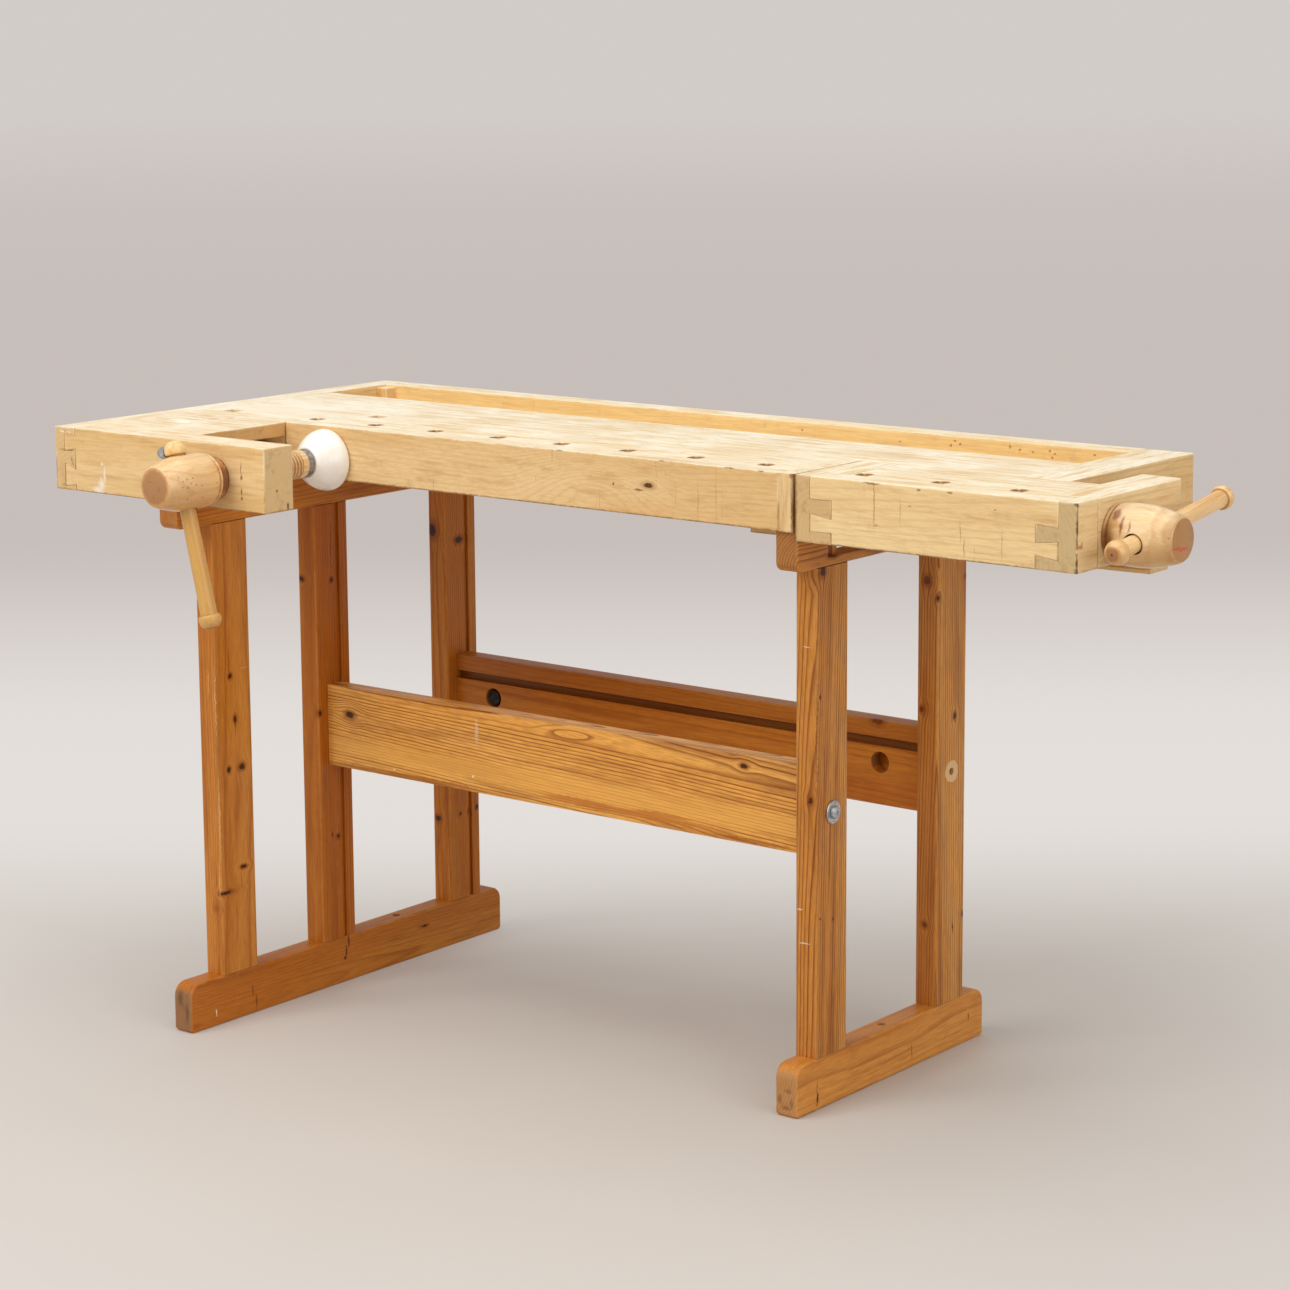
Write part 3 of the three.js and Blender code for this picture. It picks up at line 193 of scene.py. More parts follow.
# A finish: its colours, its growth rings and fibres, its ends, edges and specks, its wear and shine.
PINE = dict(
    pale=tone(217, 146, 56), deep=tone(197, 117, 33), late=tone(138, 66, 14), end=tone(150, 110, 72),
    edge=tone(226, 172, 104), rim=tone(232, 184, 120), knot=tone(60, 31, 9), halo=tone(128, 64, 16),
    speck=tone(92, 44, 16),
    ring=0.0044, wave=0.014, late_strength=0.75, flame=0.45, fibre_strength=0.3, mottle=0.16,
    end_strength=0.75, end_rings=0.7, edge_width=0.004, edge_strength=0.2, speck_share=0.05,
    scrub=0.0, scratch=0.0, wear=0.08, shine=0.34, gloss=0.22,
)


def reach_of(spot, middle, size):
    """How far a spot is from a middle, counted in a size of its own along each axis."""
    inner = {"Vector": spot, "Location": middle, "Scale": size}
    return vectors("LENGTH", add("Mapping", inner, vector_type="TEXTURE").outputs[0])


def wood(name, box, along, heart, finish, knots=(), marks=(), swells=()):
    """Wood cut from a log: growth rings round a heart line, fibres along it, knots, end grain and wear."""
    low, high = box
    look = SimpleNamespace(**finish)
    material, coordinates, shader = finish_named(name)
    spot = coordinates["Object"]
    height = add("SeparateXYZ", {0: spot}).outputs[2]
    along = Vector(along).normalized()
    ragged = vectors("SUBTRACT", cloudy(spot, 140.0, 3.0, 0.5, "Color"), (0.5, 0.5, 0.5))
    loose = vectors("MULTIPLY_ADD", ragged, (0.005, 0.005, 0.005), spot)

    # Fibres part round each knot.
    grown, knot = spot, None
    for middle, size in knots:
        reach = reach_of(loose, middle, size)
        off = vectors("SUBTRACT", spot, middle)
        parted = {0: off, "Scale": fade(reach, 0.8, 5.0, 0.7, 0.0)}
        parted = add("VectorMath", parted, operation="SCALE").outputs[0]
        grown = vectors("SUBTRACT", grown, parted)
        knot = reach if knot is None else sums("MINIMUM", knot, reach)

    # Growth rings, with a pale early and a dark late side, and fibres drawn out along the log.
    turn = Vector((0, 0, 1)).rotation_difference(along).to_euler()
    log_feeds = {"Vector": grown, "Location": (low + high) / 2 + Vector(heart), "Rotation": turn}
    log = add("Mapping", log_feeds, vector_type="TEXTURE").outputs[0]
    drawn = vectors("MULTIPLY", log, (1, 1, 0.07))
    wander = cloudy(vectors("MULTIPLY", log, (1, 1, 0.16)), 13.0, 2.0, 0.5, "Color")
    bent = vectors("MULTIPLY_ADD", wander, (look.wave, look.wave, 0), log)
    radius = vectors("LENGTH", vectors("MULTIPLY", bent, (1, 1, 0)))
    for middle, size, lift in swells:
        radius = sums("ADD", radius, fade(reach_of(spot, middle, size), 0.0, 1.0, lift, 0.0))
    years = sums("DIVIDE", radius, look.ring)
    profile = add("ValToRGB", {"Fac": sums("FRACT", years)})
    stops = profile.color_ramp.elements
    stops[0].color = (0.0, 0.0, 0.0, 1)
    stops[1].position = 0.96
    stops[1].color = (0.03, 0.03, 0.03, 1)
    for position, value in ((0.5, 0.1), (0.85, 1.0)):
        stops.new(position).color = (value, value, value, 1)
    luck = add("TexWhiteNoise", {"W": sums("FLOOR", years)}, noise_dimensions="1D").outputs["Value"]
    late = times(profile.outputs["Color"], fade(luck, 0.0, 1.0, 0.45, 1.0))
    fibre = cloudy(drawn, 520.0, 3.0, 0.6)
    mottle = cloudy(vectors("MULTIPLY", log, (1, 1, 0.1)), 100.0, 5.0, 0.65)

    colour = tint(fade(cloudy(drawn, 9.0, 3.0), 0.3, 0.7), look.pale, look.deep)

    def lay(amount, over):
        nonlocal colour
        colour = tint(amount, colour, over)

    bands = fade(cloudy(drawn, 55.0, 3.0, 0.6), 0.48, 0.72, 0.0, look.flame)
    lay(bands, look.late)
    lay(times(late, look.late_strength), look.late)
    lay(fade(fibre, 0.32, 0.62, look.fibre_strength, 0.0), look.late)
    lay(fade(mottle, 0.5, 0.72, 0.0, look.mottle), look.late)

    # Sawn ends drink in more finish and dirt; upper faces are scrubbed pale.
    facing = vectors("DOT_PRODUCT", coordinates["Normal"], along)
    end_grain = fade(sums("ABSOLUTE", facing), 0.72, 0.94, 0.0, look.end_strength)
    end_rings = times(late, look.end_rings)
    end_colour = tint(end_rings, look.end, look.late)
    end_dirt = fade(cloudy(spot, 60.0, 5.0, 0.7), 0.5, 0.7, 0.0, 0.35)
    lay(end_grain, tint(end_dirt, end_colour, look.speck))
    upward = fade(vectors("DOT_PRODUCT", coordinates["Normal"], (0, 0, 1)), 0.75, 0.95)
    if look.scrub:
        top_colour = tint(fade(mottle, 0.44, 0.66), look.top, look.top_deep)
        top_colour = tint(fade(fibre, 0.36, 0.56, 0.4, 0.0), top_colour, look.top_deep)
        dents = cloudy(vectors("MULTIPLY", log, (1, 1, 0.25)), 170.0, 4.0, 0.7)
        top_colour = tint(fade(dents, 0.56, 0.68, 0.0, 0.45), top_colour, look.late)
        bleached = fade(cloudy(spot, 11.0, 4.0), 0.35, 0.65, 0.6, 1.0)
        bleached = times(bleached, times(upward, look.scrub))
        lay(bleached, top_colour)

    # Specks, scuffs, scratches, and rubbed edges that also carry painted highlight and shade.
    fleck = add("TexVoronoi", {"Vector": spot, "Scale": 70.0}).outputs
    fleck_size = sums("MULTIPLY_ADD", fleck["Color"], 0.35, look.speck_share - 0.35)
    fleck_here = sums("LESS_THAN", fleck["Distance"], fleck_size)
    lay(times(fleck_here, 0.7), look.speck)
    scuffed = fade(cloudy(spot, 38.0, 6.0, 0.72), 0.56, 0.72, 0.0, look.wear)
    lay(scuffed, look.edge)
    if look.scratch:
        upright = cloudy(vectors("MULTIPLY", loose, (1, 1, 0.03)), 330.0, 1.0)
        level = {"Vector": loose, "Rotation": (0, 0, math.radians(24)), "Scale": (0.03, 1, 1)}
        level = cloudy(add("Mapping", level).outputs[0], 330.0, 1.0)
        lines = sums("MULTIPLY_ADD", upward, sums("SUBTRACT", level, upright), upright)
        lay(fade(lines, 0.72, 0.8, 0.0, look.scratch), look.speck)
    if look.edge_strength:
        below = vectors("SUBTRACT", spot, low)
        above = vectors("SUBTRACT", high, spot)
        inset = add("SeparateXYZ", {0: vectors("MINIMUM", below, above)}).outputs
        smaller = sums("MINIMUM", inset[0], inset[1])
        larger = sums("MAXIMUM", inset[0], inset[1])
        from_edge = sums("MAXIMUM", smaller, sums("MINIMUM", larger, inset[2]))
        rubbed = fade(from_edge, 0.0005, look.edge_width, look.edge_strength, 0.0)
        patchy = fade(cloudy(spot, 30.0, 4.0, 0.65), 0.36, 0.6)
        # Edges in a piece's upper half take the rim colour: wear with a painted highlight. Lower edges take
        # the edge colour, which on beech is dirt with painted shade.
        middle = (low.z + high.z) / 2
        rim = tint(fade(height, middle - 0.01, middle + 0.01), look.edge, look.rim)
        lay(times(rubbed, patchy), rim)

    relief = sums("MULTIPLY_ADD", fibre, 0.6, times(late, 0.3))
    if knots:
        lay(fade(knot, 0.9, 2.4, 0.7, 0.0), look.halo)
        core = fade(knot, 0.7, 1.1, 1.0, 0.0)
        core_rings = sums("SINE", times(knot, 14.0))
        core_rings = fade(core_rings, -1.0, 1.0, 0.0, 0.25)
        lay(core, tint(core_rings, look.knot, look.halo))
        relief = sums("SUBTRACT", relief, times(core, 0.5))
    for places, shade, strength, blur in marks:
        nearest = None
        for middle, size in places:
            reach = reach_of(loose, middle, size)
            nearest = reach if nearest is None else sums("MINIMUM", nearest, reach)
        lay(fade(nearest, 1.0 - blur, 1.0 + blur, strength, 0.0), shade)

    dull = fade(sums("ADD", fibre, scuffed), 0.3, 0.9, look.shine - 0.06, look.shine + 0.2)
    dull = sums("MULTIPLY_ADD", end_grain, 0.25, dull)
    relief = sums("MULTIPLY_ADD", cloudy(spot, 700.0, 2.0), 0.25, relief)
    bump = add("Bump", {"Strength": 0.25, "Distance": 0.0008, "Height": relief}).outputs[0]
    feed(shader, {
        "Base Color": colour, "Roughness": dull, "Normal": bump, "Specular IOR Level": look.gloss,
    })
    return material


def dress(node, material):
    """Gives a CAD node its finish."""
    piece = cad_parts[node]
    piece.material_slots[0].material = material
    return piece


def pine(node, along, heart, knots=(), marks=(), swells=(), **other):
    dress(node, wood("pine_" + node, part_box(node), along, heart, dict(PINE, **other), knots, marks, swells))


def on_side(face, deep, *spots):
    """Places on a face that looks to the side: middle and half size of each, along y and z."""
    return [((face, y, z), (deep, wide, tall)) for y, z, wide, tall in spots]


def on_front(face, deep, *spots):
    """The same on a face that looks to the front, along x and z."""
    return [((x, face, z), (wide, deep, tall)) for x, z, wide, tall in spots]


dark_streak = tone(84, 38, 14)
paint_dot = tone(238, 224, 198)
foot_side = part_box("left_foot")[1].x
right_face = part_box("right_foot")[1].x
left_toe = -0.285
right_toe = -0.06
soft_rings = dict(late_strength=0.45, end_rings=0.35)
foot_knot = on_side(foot_side, 0.004, (0.2056, 0.0457, 0.007, 0.002))
pine("left_foot", (0.02, 1, 0.0), (0.05, 0, -0.03), foot_knot, [
    (on_side(foot_side, 0.004, (0.0372, 0.061, 0.002, 0.009), (0.0315, 0.046, 0.0018, 0.009),
        (0.029, 0.037, 0.0028, 0.003)), dark_streak, 0.85, 0.5),
    (on_side(foot_side, 0.004, (-0.1639, 0.035, 0.0014, 0.008), (-0.157, 0.0165, 0.0014, 0.01),
        (0.1365, 0.0402, 0.02, 0.0007)), dark_streak, 0.6, 0.5),
    (on_side(foot_side, 0.004, (-0.2368, 0.0193, 0.0009, 0.006)), paint_dot, 0.8, 0.4),
    (on_front(left_toe, 0.01, (-0.598, 0.05, 0.005, 0.01), (-0.585, 0.03, 0.003, 0.013)), tone(84, 66, 50),
        0.6, 0.6),
], pale=tone(206, 136, 56), deep=tone(186, 108, 34), end=tone(138, 108, 80), **soft_rings)
pine("right_foot", (0.0, 1, 0.02), (-0.06, 0, 0.02), [
    *on_side(right_face, 0.004, (-0.0133, 0.0169, 0.0016, 0.006)),
    *on_side(right_face, 0.003, (0.3509, 0.0358, 0.001, 0.003)),
], [
    (on_side(right_face, 0.004, (0.2087, 0.023, 0.0008, 0.011), (-0.0143, 0.034, 0.0006, 0.013)), dark_streak,
        0.75, 0.4),
    (on_front(right_toe, 0.01, (0.286, 0.024, 0.0035, 0.005), (0.3, 0.036, 0.005, 0.003),
        (0.296, 0.012, 0.006, 0.0025), (0.305, 0.02, 0.0025, 0.006)), tone(96, 66, 42), 0.5, 0.7),
], pale=tone(224, 154, 74), deep=tone(206, 130, 52), end=tone(178, 132, 88), **soft_rings)

# Posts
# Five pine posts with rounded corners, stub-tenoned into feet and bearers. The four that carry a stretcher
# have a shallow groove down the inner face, and each shows the knots of its own plank.

post_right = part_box("left_shoulder_post")[1].x
knot_small = (0.0032, 0.0038)
pine("left_shoulder_post", (0, 0.01, 1), (-0.05, 0.01, 0), [
    *on_side(post_right, 0.006, (-0.1923, 0.502, *knot_small), (-0.1842, 0.4384, 0.003, 0.006),
        (-0.199, 0.3675, *knot_small), (-0.1737, 0.3677, 0.0055, 0.0048), (-0.2124, 0.19, 0.011, 0.0026),
        (-0.1755, 0.2215, 0.006, 0.0028)),
    ((-0.587, -0.2275, 0.168), (0.004, 0.004, 0.005)),
], [
    (on_side(post_right, 0.004, (-0.1935, 0.524, 0.0007, 0.018), (-0.18, 0.205, 0.0006, 0.012),
        (-0.184, 0.428, 0.0008, 0.012)), dark_streak, 0.6, 0.4),
    (on_side(post_right - 0.0015, 0.0022, (-0.2192, 0.42, 0.003, 0.16)), tone(150, 98, 54), 0.55, 0.5),
    ([((post_right - 0.002, -0.22, 0.47), (0.0007, 0.002, 0.05)),
      ((post_right - 0.001, -0.219, 0.3), (0.0009, 0.002, 0.06)),
      ((post_right - 0.003, -0.2208, 0.21), (0.0008, 0.002, 0.03)),
      ((-0.5905, -0.221, 0.495), (0.0008, 0.003, 0.016)),
      ((post_right, -0.165, 0.5095), (0.003, 0.006, 0.0009))], PINE["rim"], 0.5, 0.5),
], pale=tone(214, 146, 70), deep=tone(196, 120, 44), late_strength=0.5)
pine("left_front_post", (0.01, 0, 1), (0.0, 0.055, 0), [
    *on_side(post_right, 0.006, (0.0178, 0.6102, *knot_small), (-0.0118, 0.4163, *knot_small),
        (0.02, 0.2256, *knot_small)),
    *on_side(post_right, 0.004, (0.008, 0.2297, 0.0012, 0.003)),
    ((-0.6045, -0.0146, 0.6135), (0.006, 0.0032, 0.0038)),
], [
    (on_side(post_right, 0.004, (0.0178, 0.66, 0.0008, 0.035)), dark_streak, 0.8, 0.3),
], pale=tone(200, 128, 48), deep=tone(180, 100, 28))
left_back_face = 0.2681
pine("left_back_post", (0, -0.01, 1), (0.03, 0.03, 0), [
    *on_front(left_back_face, 0.005, (-0.6026, 0.6483, 0.008, 0.0105), (-0.6003, 0.1984, 0.005, 0.005)),
    *on_side(post_right, 0.006, (0.2979, 0.6317, 0.0085, 0.0052), (0.2912, 0.2044, 0.002, 0.003),
        (0.3124, 0.2034, *knot_small), (0.3297, 0.2082, *knot_small)),
], [
    (on_front(left_back_face, 0.004, (-0.6003, 0.165, 0.0012, 0.028)), dark_streak, 0.6, 0.4),
], pale=tone(208, 138, 56), deep=tone(188, 110, 34))

front_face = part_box("right_front_post")[0].y
BROWN_POST = dict(
    pale=tone(224, 158, 80), deep=tone(202, 130, 56), late=tone(118, 58, 16), late_strength=1.0,
)
pine("right_front_post", (0.0, 0.035, 1), (0.03, 0.006, 0.1), [
    *on_side(right_face, 0.006, (-0.004, 0.7175, 0.006, 0.007)),
    *on_side(right_face, 0.004, (-0.009, 0.5535, 0.0016, 0.0022)),
    *on_side(right_face, 0.003, (-0.0088, 0.2585, 0.0012, 0.0014), (0.0204, 0.2525, 0.0012, 0.0014)),
    *on_front(front_face, 0.004, (0.3032, 0.4166, 0.0035, 0.0045)),
], [
    (on_front(front_face, 0.003, (0.2972, 0.6183, 0.005, 0.0007), (0.295, 0.2239, 0.008, 0.0008),
        (0.2862, 0.269, 0.004, 0.0008)), paint_dot, 0.6, 0.4),
    ([((0.312, -0.0145, 0.5), (0.0008, 0.002, 0.09)), ((right_face, -0.004, 0.33), (0.004, 0.0005, 0.05)),
      ((right_face, 0.001, 0.44), (0.004, 0.0005, 0.06))], dark_streak, 0.5, 0.5),
], **BROWN_POST)
back_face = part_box("right_back_post")[0].y
pine("right_back_post", (0.01, -0.02, 1), (0.03, -0.035, 0), [
    *on_front(back_face, 0.005, (0.2941, 0.6644, 0.0055, 0.0065)),
    *on_front(back_face, 0.003, (0.3122, 0.6417, 0.003, 0.0035)),
    *on_front(back_face, 0.004, (0.2871, 0.4863, 0.004, 0.0045), (0.2941, 0.1843, 0.004, 0.0045)),
    *on_side(right_face, 0.004, (0.3085, 0.4732, 0.0038, 0.0046)),
    *on_side(right_face, 0.006, (0.3344, 0.6636, *knot_small), (0.3335, 0.1884, *knot_small)),
    *on_side(right_face, 0.003, (0.3078, 0.1756, 0.0012, 0.004)),
], [
    (on_side(right_face, 0.004, (0.3026, 0.3965, 0.0155, 0.0155)), tone(224, 190, 140), 0.75, 0.06),
    (on_front(back_face, 0.008, (0.296, 0.4, 0.016, 0.5)), tone(152, 78, 22), 0.4, 0.3),
], **BROWN_POST)

# Bearers
# A pine bearer on top of each trestle, rounded at its lower ends. The left one reaches out under the
# shoulder vise, the right one is notched for the tail vise's guide bar.

pine("left_bearer", (0, 1, 0.015), (0.06, 0, 0.02), end=tone(172, 116, 66))
bearer_knot = on_side(right_face, 0.004, (0.02, 0.735, 0.009, 0.003))
pine("right_bearer", (0.01, 1, 0.0), (0.05, 0, -0.03), bearer_knot, end=tone(160, 108, 62), **BROWN_POST)

# Stretchers
# Two pine boards between the trestles, grooved and drilled on the inner face for the cross nuts. The front
# one is flat sawn, with strong wavy rings round a knot near its left end.


def eased(piece, width):
    """Joins the split corners of a CAD node, clears its flat faces and rounds its edges a little."""
    weld = piece.modifiers.new("joined", "WELD")
    weld.merge_threshold = 0.00002
    clear = piece.modifiers.new("cleared", "DECIMATE")
    clear.decimate_type = "DISSOLVE"
    clear.angle_limit = math.radians(0.5)
    rounding = piece.modifiers.new("eased", "BEVEL")
    rounding.width = width
    rounding.segments = 2
    rounding.limit_method = "ANGLE"
    rounding.angle_limit = math.radians(40)


board_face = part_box("front_stretcher")[0].y
pine("front_stretcher", (1, 0.015, -0.05), (0, 0.012, 0.045), [
    *on_front(board_face, 0.008, (-0.5331, 0.4168, 0.008, 0.005)),
    *on_front(board_face, 0.006, (0.1808, 0.4416, 0.006, 0.0035)),
], [
    (on_front(board_face, 0.004, (-0.1, 0.37, 0.6, 0.016)), tone(236, 172, 84), 0.6, 0.5),
    (on_front(board_face, 0.004, (-0.03, 0.3485, 0.15, 0.0045), (-0.1, 0.353, 0.06, 0.003),
        (0.04, 0.354, 0.05, 0.003)), tone(178, 98, 32), 0.6, 0.3),
    (on_front(board_face, 0.004, (-0.42, 0.34, 0.17, 0.0042), (0.2, 0.341, 0.06, 0.003)),
        tone(142, 74, 24), 0.6, 0.4),
    (on_front(board_face, 0.002, (-0.2885, 0.425, 0.003, 0.016)), paint_dot, 0.3, 0.6),
    (on_front(board_face, 0.002, (-0.4475, 0.3472, 0.002, 0.0018), (-0.296, 0.3586, 0.002, 0.0018)),
        paint_dot, 0.85, 0.3),
], [
    ((-0.118, board_face, 0.4446), (0.085, 0.02, 0.012), 0.0075),
    ((0.02, board_face, 0.345), (0.16, 0.02, 0.014), 0.006),
], pale=tone(250, 190, 102), deep=tone(234, 164, 76), late=tone(122, 50, 6), late_strength=1.0)
groove_below_edge = 0.0308
groove_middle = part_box("back_stretcher")[1].z - groove_below_edge
back_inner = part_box("back_stretcher")[0].y
edge_knot = on_front(back_inner, 0.006, (0.2005, 0.4545, 0.009, 0.005))
pine("back_stretcher", (1, 0.0, -0.015), (0, 0.05, -0.02), edge_knot, [
    # Painted shade darkens the inside of the groove, and the band above the groove is painted darker too.
    (on_front(back_inner, 0.05, (-0.147, groove_middle + 0.019, 9.0, 0.0125)), tone(150, 82, 34), 0.4, 0.1),
    (on_front(back_inner + 0.0125, 0.0095, (-0.147, groove_middle, 9.0, 0.012)), tone(84, 40, 14), 0.7,
        0.1),
], pale=tone(206, 134, 52), deep=tone(186, 108, 32), late_strength=0.5)
for stretcher in ("front_stretcher", "back_stretcher"):
    eased(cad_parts[stretcher], 0.002)

# Knock-down bolts
# Zinc-plated bolts with a broad washer go through the posts into black cross nuts in the stretchers. Coach
# screws of the same plated steel hold the top down on the bearers.


def steel(name, pale, dark, shine, pitted):
    """Plated steel: dull patches, fine scratches and a few dark pits."""
    material, coordinates, shader = finish_named(name)
    spot = coordinates["Object"]
    patches = cloudy(spot, 160.0, 5.0, 0.7)
    scratches = cloudy(vectors("MULTIPLY", spot, (60, 900, 900)), 1.0, 2.0)
    colour = tint(fade(patches, 0.35, 0.65), pale, dark)
    pits = fade(cloudy(spot, 420.0, 3.0), 0.62, 0.7, 0.0, pitted)
    colour = tint(pits, colour, tone(70, 56, 44))
    dull = sums("MULTIPLY_ADD", patches, 0.3, sums("MULTIPLY_ADD", scratches, 0.15, shine))
    bump = add("Bump", {"Strength": 0.2, "Distance": 0.0003, "Height": scratches}).outputs[0]
    feed(shader, {"Base Color": colour, "Metallic": 1.0, "Roughness": dull, "Normal": bump})
    return material


def laid(middle, along):
    """Turns what stands upright at the origin to lie along a line from a middle."""
    turn = Vector((0, 0, 1)).rotation_difference(Vector(along)).to_matrix().to_4x4()
    return Matrix.Translation(middle) @ turn


def turned(name, profile, middle, along, sides=72, sharp=35.0):
    """A mesh turned about a line: profile gives radius and height from its middle, closed at both ends."""
    mesh = bpy.data.meshes.new(name)
    shape = bmesh.new()
    rings = []
    for radius, height in profile:
        if radius < 1e-6:
            rings.append([shape.verts.new((0, 0, height))])
            continue
        angles = [2 * math.pi * step / sides for step in range(sides)]
        rings.append([shape.verts.new((radius * math.cos(a), radius * math.sin(a), height)) for a in angles])
    closed = rings if rings[0][0].co.xy.length < 1e-6 else rings + [rings[0]]
    for first, second in zip(closed, closed[1:]):
        for step in range(sides):
            after = (step + 1) % sides
            corners = [first[step % len(first)], first[after % len(first)]]
            corners += [second[after % len(second)], second[step % len(second)]]
            shape.faces.new(dict.fromkeys(corners))
    bmesh.ops.recalc_face_normals(shape, faces=shape.faces)
    shape.transform(laid(middle, along))
    shape.to_mesh(mesh)
    shape.free()
    mesh.shade_smooth()
    mesh.set_sharp_from_angle(angle=math.radians(sharp))
    return put(name, mesh)


def fitted(piece, body, material, node):
    """Puts a made piece on its body in place of a CAD node."""
    piece.data.materials.append(material)
    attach(piece, body)
    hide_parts(node)


zinc = steel("zinc_plate", tone(206, 208, 210), tone(160, 162, 164), 0.26, 0.35)
black_steel = steel("black_steel", tone(70, 66, 62), tone(40, 37, 35), 0.4, 0.5)
bore, head = 0.0053, 0.006
for place, outward in (("front_left", -1), ("front_right", 1), ("back_left", -1)):
    washer_low, washer_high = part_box("washer_" + place)
    centre = (washer_low + washer_high) / 2
    inner = washer_high.x if outward < 0 else washer_low.x
    thick = washer_high.x - washer_low.x
    radius = (washer_high.z - washer_low.z) / 2
    base = Vector((inner, centre.y, centre.z))
    washer = turned("washer_plate_" + place, [
        (bore, 0), (radius - 0.0004, 0), (radius, 0.0005), (radius, thick - 0.0006),
        (radius - 0.0008, thick), (bore + 0.0005, thick), (bore, thick - 0.0005),
    ], base, (outward, 0, 0), 48)
    fitted(washer, "bench", zinc, "washer_" + place)
    bolt_low, bolt_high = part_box("bolt_" + place)
    tip = head - (bolt_high.x - bolt_low.x)
    bolt = turned("bolt_shank_" + place, [
        (0, tip), (0.005, tip), (0.005, 0), (0.0062, 0), (0.0088, 0.0002), (0.0088, 0.0028),
        (0.0078, 0.0045), (0.005, 0.0057), (0.003, head), (0.0022, 0.0032), (0, 0.003),
    ], base + Vector((outward * thick, 0, 0)), (outward, 0, 0), 36)
    fitted(bolt, "bench", zinc, "bolt_" + place)
    dress("cross_nut_" + place, black_steel)
for place in ("left_front", "left_back", "right_front", "right_back"):
    dress("coach_screw_" + place, zinc)

# Apron and dog strip
# The bench's front edge: a thick beech face board, behind it a strip notched into square dog holes, and a
# beech facing across its right end that serves as the tail vise's fixed jaw. All are glued together.

BEECH = dict(
    pale=tone(241, 209, 156), deep=tone(225, 186, 125), late=tone(188, 136, 78), end=tone(206, 174, 126),
    # edge and rim colour the lower and upper edges: the dark one is dirt with painted shade, the pale one
    # wear with a painted highlight.
    edge=tone(150, 108, 66), rim=tone(248, 228, 188), top=tone(252, 245, 223),
    top_deep=tone(229, 198, 143), knot=tone(64, 42, 26), halo=tone(180, 128, 74), speck=tone(128, 82, 44),
    ring=0.0065, wave=0.02, late_strength=0.4, flame=0.2, fibre_strength=0.22, mottle=0.45,
    end_strength=0.85, end_rings=0.25, edge_width=0.003, edge_strength=0.6, speck_share=0.055,
    scrub=0.9, scratch=0.3, wear=0.16, shine=0.42, gloss=0.22,
)


def beech(node, along, heart, knots=(), marks=(), swells=(), round_over=0.0012, **other):
    material = wood("beech_" + node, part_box(node), along, heart, dict(BEECH, **other), knots, marks, swells)
    eased(dress(node, material), round_over)


def on_top(deep, *spots):
    """Places on the bench's upper face: middle and half size of each, along x and y."""
    return [((x, y, top_face), (wide, long, deep)) for x, y, wide, long in spots]


def lower_edge_shade_and_dirt(node):
    """A dark line along a board's lower front edge: dirt from hands, together with painted shade under the
    edge.
    """
    low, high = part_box(node)
    middle = ((low.x + high.x) / 2, low.y, low.z)
    return [(middle, (high.x - low.x, 0.003, 0.0016))], tone(112, 72, 38), 0.55, 0.4


top_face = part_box("dog_strip")[1].z
# A soft paler patch across the top at its left end.
pale_left_end = (on_top(0.012, (-0.66, 0.03, 0.16, 0.15)), tone(254, 247, 230), 0.45, 0.9)
apron_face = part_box("front_apron")[0].y
apron_knot = on_front(apron_face, 0.004, (0.078, 0.8155, 0.008, 0.0035))
beech("front_apron", (1, 0.09, 0.0), (0.3, 0.0, 0.05), apron_knot, [
    (on_front(apron_face, 0.004, (0.1597, 0.8, 0.0006, 0.024), (0.1888, 0.81, 0.0005, 0.036),
        (-0.004, 0.786, 0.0005, 0.014), (-0.085, 0.842, 0.0006, 0.009)), tone(158, 106, 58), 0.5, 0.5),
    ([*on_front(apron_face, 0.004, (0.062, 0.808, 0.007, 0.0014), (0.02, 0.813, 0.0016, 0.002)),
      *on_front(apron_face, 0.003, (-0.072, 0.851, 0.007, 0.002), (0.1, 0.8505, 0.004, 0.0018),
        (0.21, 0.8505, 0.008, 0.0016), (0.26, 0.851, 0.005, 0.0022))], tone(92, 58, 32), 0.75, 0.4),
    # Painted shade: a near-black patch on the apron under the shoulder slab, between the beam and the apron.
    (on_front(apron_face, 0.006, (-0.64, 0.798, 0.05, 0.028)), tone(40, 26, 16), 0.9, 0.3),
    (on_front(apron_face, 0.006, (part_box("shoulder_slab")[1].x, 0.82, 0.0016, 0.034)), tone(120, 70, 34),
        0.75, 0.5),
    lower_edge_shade_and_dirt("front_apron"),
], [
    ((-0.02, apron_face, 0.81), (0.17, 0.05, 0.075), 0.05),
], late_strength=0.26, flame=0.1, speck_share=0.11, pale=tone(238, 206, 154), deep=tone(224, 184, 126))
fixed_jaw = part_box("apron_end_jaw")[1].x
hole_pitch = 0.114
hole_from_jaw = 0.0775


def dog_hole_shade_and_wear(first, step, count):
    """Painted shade on the walls of a row of dog holes, from the first one along x, which also darkens their
    worn rims on top.
    """
    y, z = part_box("dog_strip")[0].y + 0.01, 0.82
    size = (0.012, 0.0118, 0.3)
    holes = [((first + step * index, y, z), size) for index in range(count)]
    return holes, tone(138, 90, 50), 0.65, 0.15


# Painted shade in the bench's dog holes, with their worn rims.
bench_hole_shade_and_wear = dog_hole_shade_and_wear(fixed_jaw - hole_from_jaw, -hole_pitch, 8)
beech("dog_strip", (1, 0, 0), (0, 0.03, -0.06), (), [pale_left_end, bench_hole_shade_and_wear])
